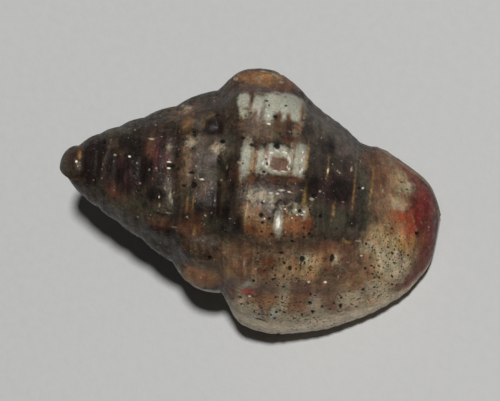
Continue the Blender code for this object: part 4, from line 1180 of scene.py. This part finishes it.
# The outside. A noise is given by its scale in waves to a millimetre, detail, roughness and twist, and a
# range by where it starts and ends along a noise. The distance is in metres.
outside = {
    "noises": {"edge": (3.2, 6.0, 0.7), "broad": (0.55, 4.0, 0.6, 0.6), "middle": (1.5, 6.0, 0.68, 0.5),
               "specks": (5.5, 2.0, 0.5)},
    "other": (2.4, 5.0, 0.7, 0.3),
    "otherMoved": (31.0, 7.0, 3.0),
    "streaks": (2.6, 3.0, 0.6),
    "groundRanges": (("broad", 0.4, 0.6), ("middle", 0.5, 0.66), ("other", 0.52, 0.34)),
    "softFrom": 0.25,  # marks softer than this have gaps in them
    "gapRange": (0.2, 0.5),
    # the paler lip side is partly painted light, standing in for light thrown up from the floor
    "paleLipRange": (1.5, 1.9),
    "paleLipStrength": 0.45,
    "warmRange": (0.35, 0.62),
    "creamUntinted": 0.7,
    # the rim is partly the lip's pale edge and partly a painted highlight along its outline
    "rimStrength": 0.7,
    # the pale flecks are partly painted glints of the lamp
    "fleckRange": (0.69, 0.75),
    "fleckStrength": 0.55,
    "dots": ((2.6, -0.09), (4.2, -0.03)),  # scale, and how much larger or smaller than a noise makes them
    "dotUneven": 0.55,
    "dotStrength": 0.85,
    "shadeSwings": (("streaks", 0.5), ("middle", 0.6)),
    "lipPlain": 0.75,
    "creamPlain": 0.8,
    # how much lighter the lip's outer side is painted, as painted light thrown up from the floor
    "lipPaintedLight": 0.3,
    "roughness": (0.28, 0.3),  # least, and how much a noise adds
    "pitRoughness": 0.4,
    "specular": 0.15,
    "wetRange": (0.48, 0.62),
    "wetStrength": 0.3,
    "wetRoughness": 0.12,
    "grainDepth": 0.00008,
}


def outsideNoises(wire, place):
    # the noises that the colours, the edges of the marks and the gloss follow
    noises = {name: wire.noise(place, *numbers) for name, numbers in outside["noises"].items()}
    noises["other"] = wire.noise(wire.vector("ADD", place, outside["otherMoved"]), *outside["other"])
    noises["streaks"] = wire.noise(wire.attribute("spiral", "Vector"), *outside["streaks"])
    return noises


def groundColour(wire, back, noises):
    # the dark ground, with patches over it where the back doesn't show
    colour, *tones = [toLinear(tone) for tone in paint["ground"]]
    for tone, (name, low, high) in zip(tones, outside["groundRanges"]):
        colour = wire.mix(wire.between(noises[name], low, high), colour, tone)
    unseen = wire.maths("MULTIPLY", wire.maths("SUBTRACT", 1.0, back), hidden["patchStrength"])
    for kind, low, high, name in hidden["patches"]:
        patch = wire.maths("MULTIPLY", wire.between(noises[name], low, high), unseen)
        colour = wire.mix(patch, colour, toLinear(paint[kind][0]))
    return colour


def cover(wire, colour, kind, inside, noises, ragged):
    # lays one kind of mark over the colour
    tone, raggedness, softness, strength = paint[kind]
    given = {"Inside": inside, "Noise": noises["edge"], "Raggedness": raggedness, "Softness": softness}
    mask = wire.maths("MULTIPLY", wire.group(ragged, given)["Mask"], strength)
    if softness >= outside["softFrom"]:
        mask = wire.maths("MULTIPLY", mask, wire.between(noises["other"], *outside["gapRange"]))
    return wire.mix(mask, colour, toLinear(tone)), mask


def paintMarks(wire, colour, place, back, noises, ragged):
    # each kind of mark in turn and then the pits, with the masks of the cream and of the pits
    onBack = wire.maths("SUBTRACT", back, 1.0)
    masks = {}
    for kind in paint:
        if kind not in marks:
            continue
        inside = wire.attribute(kind)
        small = [mark for mark in marks[kind] if isSmall(mark)]
        if small:
            drawn = wire.group(smallMarks("small " + kind + " marks", small), {"Place": place})["Inside"]
            drawn = wire.maths("ADD", drawn, wire.maths("SUBTRACT", onBack, paint[kind][2] * 0.5))
            inside = wire.maths("MAXIMUM", inside, drawn)
        colour, masks[kind] = cover(wire, colour, kind, inside, noises, ragged)
    drawn = wire.group(smallMarks("pits", pits), {"Place": place})["Inside"]
    colour, holes = cover(wire, colour, "pit", wire.maths("ADD", drawn, onBack), noises, ragged)
    return colour, masks["cream"], holes


def paintLip(wire, colour, lipSide, cream, noises):
    # the paler side of the lip, partly its own colour and partly painted light for light thrown up from the
    # floor, warm and cool places that spare the cream, and the rim, a pale edge with a painted highlight
    # along it
    # partly painted light: the lip's outer side is paled where the lamp barely reaches it
    paler = wire.between(wire.maths("MULTIPLY_ADD", noises["middle"], 1.2, lipSide), *outside["paleLipRange"])
    colour = wire.over(colour, paler, outside["paleLipStrength"], toLinear(shades["lip edge"]))
    tint = wire.mix(wire.between(noises["other"], *outside["warmRange"]), shades["cool"], shades["warm"])
    tinted = wire.maths("MULTIPLY_ADD", cream, -outside["creamUntinted"], 1.0)
    colour = wire.mix(tinted, colour, tint, "MULTIPLY")
    # the rim: a pale line along the lip's outline, partly its pale edge and partly a painted highlight
    return wire.over(colour, wire.attribute("lip rim"), outside["rimStrength"], toLinear(shades["rim"]))


def paintSpecks(wire, colour, place, noises):
    # pale flecks everywhere, partly pale nicks and partly painted glints, and fine dots in the dotted places
    # partly painted glints: small bright flecks as the lamp would make them
    flecks = wire.between(noises["specks"], *outside["fleckRange"])
    colour = wire.over(colour, flecks, outside["fleckStrength"], toLinear(shades["fleck"]))
    dotted = wire.between(wire.attribute("dotted"), -0.1, 0.6)
    for scale, larger in outside["dots"]:
        size = wire.maths("MULTIPLY_ADD", noises["edge"], outside["dotUneven"], larger)
        dots = wire.between(wire.maths("SUBTRACT", size, wire.spots(place, scale)), -0.04, 0.04)
        dots = wire.maths("MULTIPLY", dots, dotted)
        colour = wire.over(colour, dots, outside["dotStrength"], toLinear(shades["dot"]))
    return colour


def unevenShade(wire, shade, lipSide, cream, noises):
    # how light each place is, which changes less on the lip and on the cream, and the painted light that
    # makes the lip's outer side lighter
    plain = wire.maths("MAXIMUM", wire.maths("MULTIPLY", lipSide, outside["lipPlain"]),
                       wire.maths("MULTIPLY", cream, outside["creamPlain"]))
    uneven = wire.maths("SUBTRACT", 1.0, plain)
    for name, swing in outside["shadeSwings"]:
        change = wire.maths("MULTIPLY_ADD", wire.between(noises[name], 0.3, 0.7), swing, -swing / 2)
        shade = wire.maths("MULTIPLY", shade, wire.maths("MULTIPLY_ADD", change, uneven, 1.0))
    # painted light: the lip's outer side is made lighter, standing in for light thrown up from the floor
    return wire.maths("MULTIPLY", shade, wire.maths("MULTIPLY_ADD", lipSide, outside["lipPaintedLight"], 1.0))


def outsideMaterial(ragged, grainTree):
    material, wire, shader = newMaterial("worn shell")
    place = wire.attribute("place", "Vector")
    back, lipSide = wire.attribute("back"), wire.attribute("lip side")
    noises = outsideNoises(wire, place)
    grained = wire.group(grainTree, {"Place": place})
    colour = groundColour(wire, back, noises)
    colour, cream, holes = paintMarks(wire, colour, place, back, noises, ragged)
    colour = paintLip(wire, colour, lipSide, cream, noises)
    colour = paintSpecks(wire, colour, place, noises)
    least, added = outside["roughness"]
    worn = wire.maths("MULTIPLY_ADD", noises["middle"], added, least)
    wet = wire.between(noises["other"], *outside["wetRange"])
    bumps = wire.bump(grained["Height"], outside["grainDepth"])
    wire.feed(shader, {
        "Base Color": wire.shaded(colour, unevenShade(wire, grained["Shade"], lipSide, cream, noises)),
        "Roughness": wire.maths("MULTIPLY_ADD", holes, outside["pitRoughness"], worn),
        "Specular IOR Level": outside["specular"],
        "Coat Weight": wire.maths("MULTIPLY", wet, outside["wetStrength"]),
        "Coat Roughness": outside["wetRoughness"],
        "Normal": bumps,
        "Coat Normal": bumps,
    })
    return material


# The mouth. Depth is in degrees round from the lip, and noises and ranges are given as for the outside.
mouth = {
    "pale": (176, 160, 142),
    "deep": (132, 112, 108),
    "brown": (112, 52, 40),
    "tan": (140, 104, 78),
    "maroon": (98, 42, 42),
    "white": (206, 198, 182),
    "cloud": (0.9, 4.0, 0.55, 0.3),
    "brownDepth": (22.0, 12.0),
    "brownUneven": 8.0,
    "tanDepth": (3.0, 0.5),
    "pillarNoise": (1.6, 6.0, 0.7, 0.5),
    "spotNoise": (2.2, 4.0, 0.7),
    "spotScale": 1.25,
    "spotUneven": 1.1,
    "spotLarger": -0.28,
    "spotHeight": 2.0,
    "grainHeight": 0.4,
    "roughness": (0.15, 0.2),
    "grainDepth": 0.00005,
}


def mouthColour(wire, place, cloud, tones):
    # pale inside, with brown and tan near the lip, white teeth and a maroon pillar
    depth, pillar = wire.attribute("depth"), wire.attribute("pillar")
    colour = wire.mix(wire.between(cloud, 0.35, 0.65), tones["pale"], tones["deep"])
    uneven = wire.maths("MULTIPLY_ADD", cloud, mouth["brownUneven"], depth)
    colour = wire.mix(wire.between(uneven, *mouth["brownDepth"]), colour, tones["brown"])
    colour = wire.mix(wire.between(depth, *mouth["tanDepth"]), colour, tones["tan"])
    colour = wire.mix(wire.between(wire.attribute("teeth"), 0.3, 0.7), colour, tones["white"])
    blotches = wire.between(wire.noise(place, *mouth["pillarNoise"]), 0.4, 0.6)
    onPillar = wire.mix(blotches, tones["maroon"], tones["brown"])
    return wire.mix(wire.between(pillar, 0.2, 0.6), colour, onPillar), pillar


def glazedMaterial(grainTree):
    material, wire, shader = newMaterial("glazed mouth")
    place = wire.attribute("place", "Vector")
    tones = {name: toLinear(mouth[name]) for name in ("pale", "deep", "brown", "tan", "maroon", "white")}
    grained = wire.group(grainTree, {"Place": place})
    cloud = wire.noise(place, *mouth["cloud"])
    colour, pillar = mouthColour(wire, place, cloud, tones)
    uneven = wire.noise(place, *mouth["spotNoise"])
    size = wire.maths("MULTIPLY_ADD", uneven, mouth["spotUneven"], mouth["spotLarger"])
    spots = wire.between(wire.maths("SUBTRACT", size, wire.spots(place, mouth["spotScale"])), -0.02, 0.08)
    spots = wire.maths("MULTIPLY", spots, wire.between(pillar, 0.3, 0.7))
    fine = wire.maths("MULTIPLY", grained["Height"], mouth["grainHeight"])
    least, added = mouth["roughness"]
    height = wire.maths("MULTIPLY_ADD", spots, mouth["spotHeight"], fine)
    wire.feed(shader, {
        "Base Color": wire.shaded(wire.mix(spots, colour, tones["white"]), grained["Shade"]),
        "Roughness": wire.maths("MULTIPLY_ADD", cloud, added, least),
        "Normal": wire.bump(height, mouth["grainDepth"]),
    })
    return material


def paintShell(piece):
    grainTree = grainGroup()
    piece.data.materials.append(outsideMaterial(raggedEdge(), grainTree))
    piece.data.materials.append(glazedMaterial(grainTree))


# A plain board under the shell. Its noise scales are in waves to a metre.
board = {
    "halfWidth": 0.6,
    "pale": (0.512, 0.51, 0.5, 1.0),
    "dull": (0.488, 0.49, 0.48, 1.0),
    "cloudScale": 18.0,
    "grainScale": 1600.0,
    "grainDepth": 0.00003,
    "roughness": (0.78, 0.2),
}


def makeFloor():
    mesh = bpy.data.meshes.new("floor")
    size = board["halfWidth"]
    mesh.from_pydata([(-size, -size, 0.0), (size, -size, 0.0), (size, size, 0.0), (-size, size, 0.0)], [],
                     [(0, 1, 2, 3)])
    floor = bpy.data.objects.new("floor", mesh)
    bpy.context.scene.collection.objects.link(floor)
    material, wire, shader = newMaterial("plain pale board")
    place = wire.add("ShaderNodeTexCoord").outputs["Object"]
    cloud = wire.noise(place, board["cloudScale"], 3.0, 0.5)
    grainy = wire.noise(place, board["grainScale"], 3.0, 0.6)
    mottle = wire.maths("MULTIPLY_ADD", grainy, 0.5, wire.maths("MULTIPLY", cloud, 0.5))
    least, added = board["roughness"]
    wire.feed(shader, {
        "Base Color": wire.mix(wire.between(mottle, 0.35, 0.65), board["dull"], board["pale"]),
        "Roughness": wire.maths("MULTIPLY_ADD", grainy, added, least),
        "Normal": wire.bump(grainy, board["grainDepth"]),
    })
    floor.data.materials.append(material)


# The camera looks straight down onto the shell's back. Lengths are in millimetres.
photo = {
    "axisTurn": 7.6,
    "aimAt": (12.53, -0.653, 0.0),
    "viewWidth": 32.45,
    "distance": 140.0,
    "sensor": 36.0,
}


def shellPlace(smoothPoints, point):
    # where a point in the shell's own axes is in the scene, in metres
    return (np.array(point) @ restTurn().T + restShift(smoothPoints)[0]) / mmPerMetre


def makeCamera(aim):
    turn = restTurn()
    lean = math.radians(photo["axisTurn"])
    right = turn @ np.array([math.cos(lean), math.sin(lean), 0.0])
    up = turn @ np.array([-math.sin(lean), math.cos(lean), 0.0])
    back = turn @ np.array([0.0, 0.0, 1.0])
    place = np.array(aim) + back * photo["distance"] / mmPerMetre
    data = bpy.data.cameras.new("camera")
    data.sensor_width = photo["sensor"]
    data.lens = photo["sensor"] * photo["distance"] / photo["viewWidth"]
    data.clip_start = 0.005
    camera = bpy.data.objects.new("camera", data)
    camera.matrix_world = Matrix([(*row, 0.0) for row in (right, up, back)] + [(*place, 1.0)]).transposed()
    bpy.context.scene.collection.objects.link(camera)
    bpy.context.scene.camera = camera
    return right, up, back


# One small lamp beside the camera, towards the top of the picture, and a faint sky. Lengths are in metres.
lamp = {
    "towards": (-0.04, 0.3, 1.0),  # right, up and back, as the camera looks
    "distance": 0.5,
    "size": 0.05,
    "power": 2.55,
}
sky = {
    "colour": (1.0, 0.98, 0.95, 1.0),
    "strength": 0.035,
}


def makeLamp(aim, axes):
    data = bpy.data.lights.new("key", "AREA")
    data.shape = "DISK"
    data.size = lamp["size"]
    data.energy = lamp["power"]
    light = bpy.data.objects.new("key", data)
    direction = Vector(sum(part * axis for part, axis in zip(lamp["towards"], axes))).normalized()
    light.location = Vector(aim) + direction * lamp["distance"]
    light.rotation_euler = direction.to_track_quat("Z", "Y").to_euler()
    bpy.context.scene.collection.objects.link(light)


def makeSky():
    world = bpy.data.worlds.new("room")
    world.use_nodes = True
    Wiring(world.node_tree).feed(world.node_tree.nodes["Background"],
                                 {"Color": sky["colour"], "Strength": sky["strength"]})
    bpy.context.scene.world = world


piece = buildShell()
paintShell(piece)
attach(piece, "root")
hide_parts("shell")
print("shell built")

makeFloor()
smoothPlaces = np.zeros(len(piece.data.vertices) * 3, np.float32)
piece.data.attributes["place"].data.foreach_get("vector", smoothPlaces)
aim = shellPlace(smoothPlaces.reshape(-1, 3), photo["aimAt"])
makeLamp(aim, makeCamera(aim))
makeSky()
bpy.context.scene.view_settings.view_transform = "Standard"
print("floor, lights and camera set")
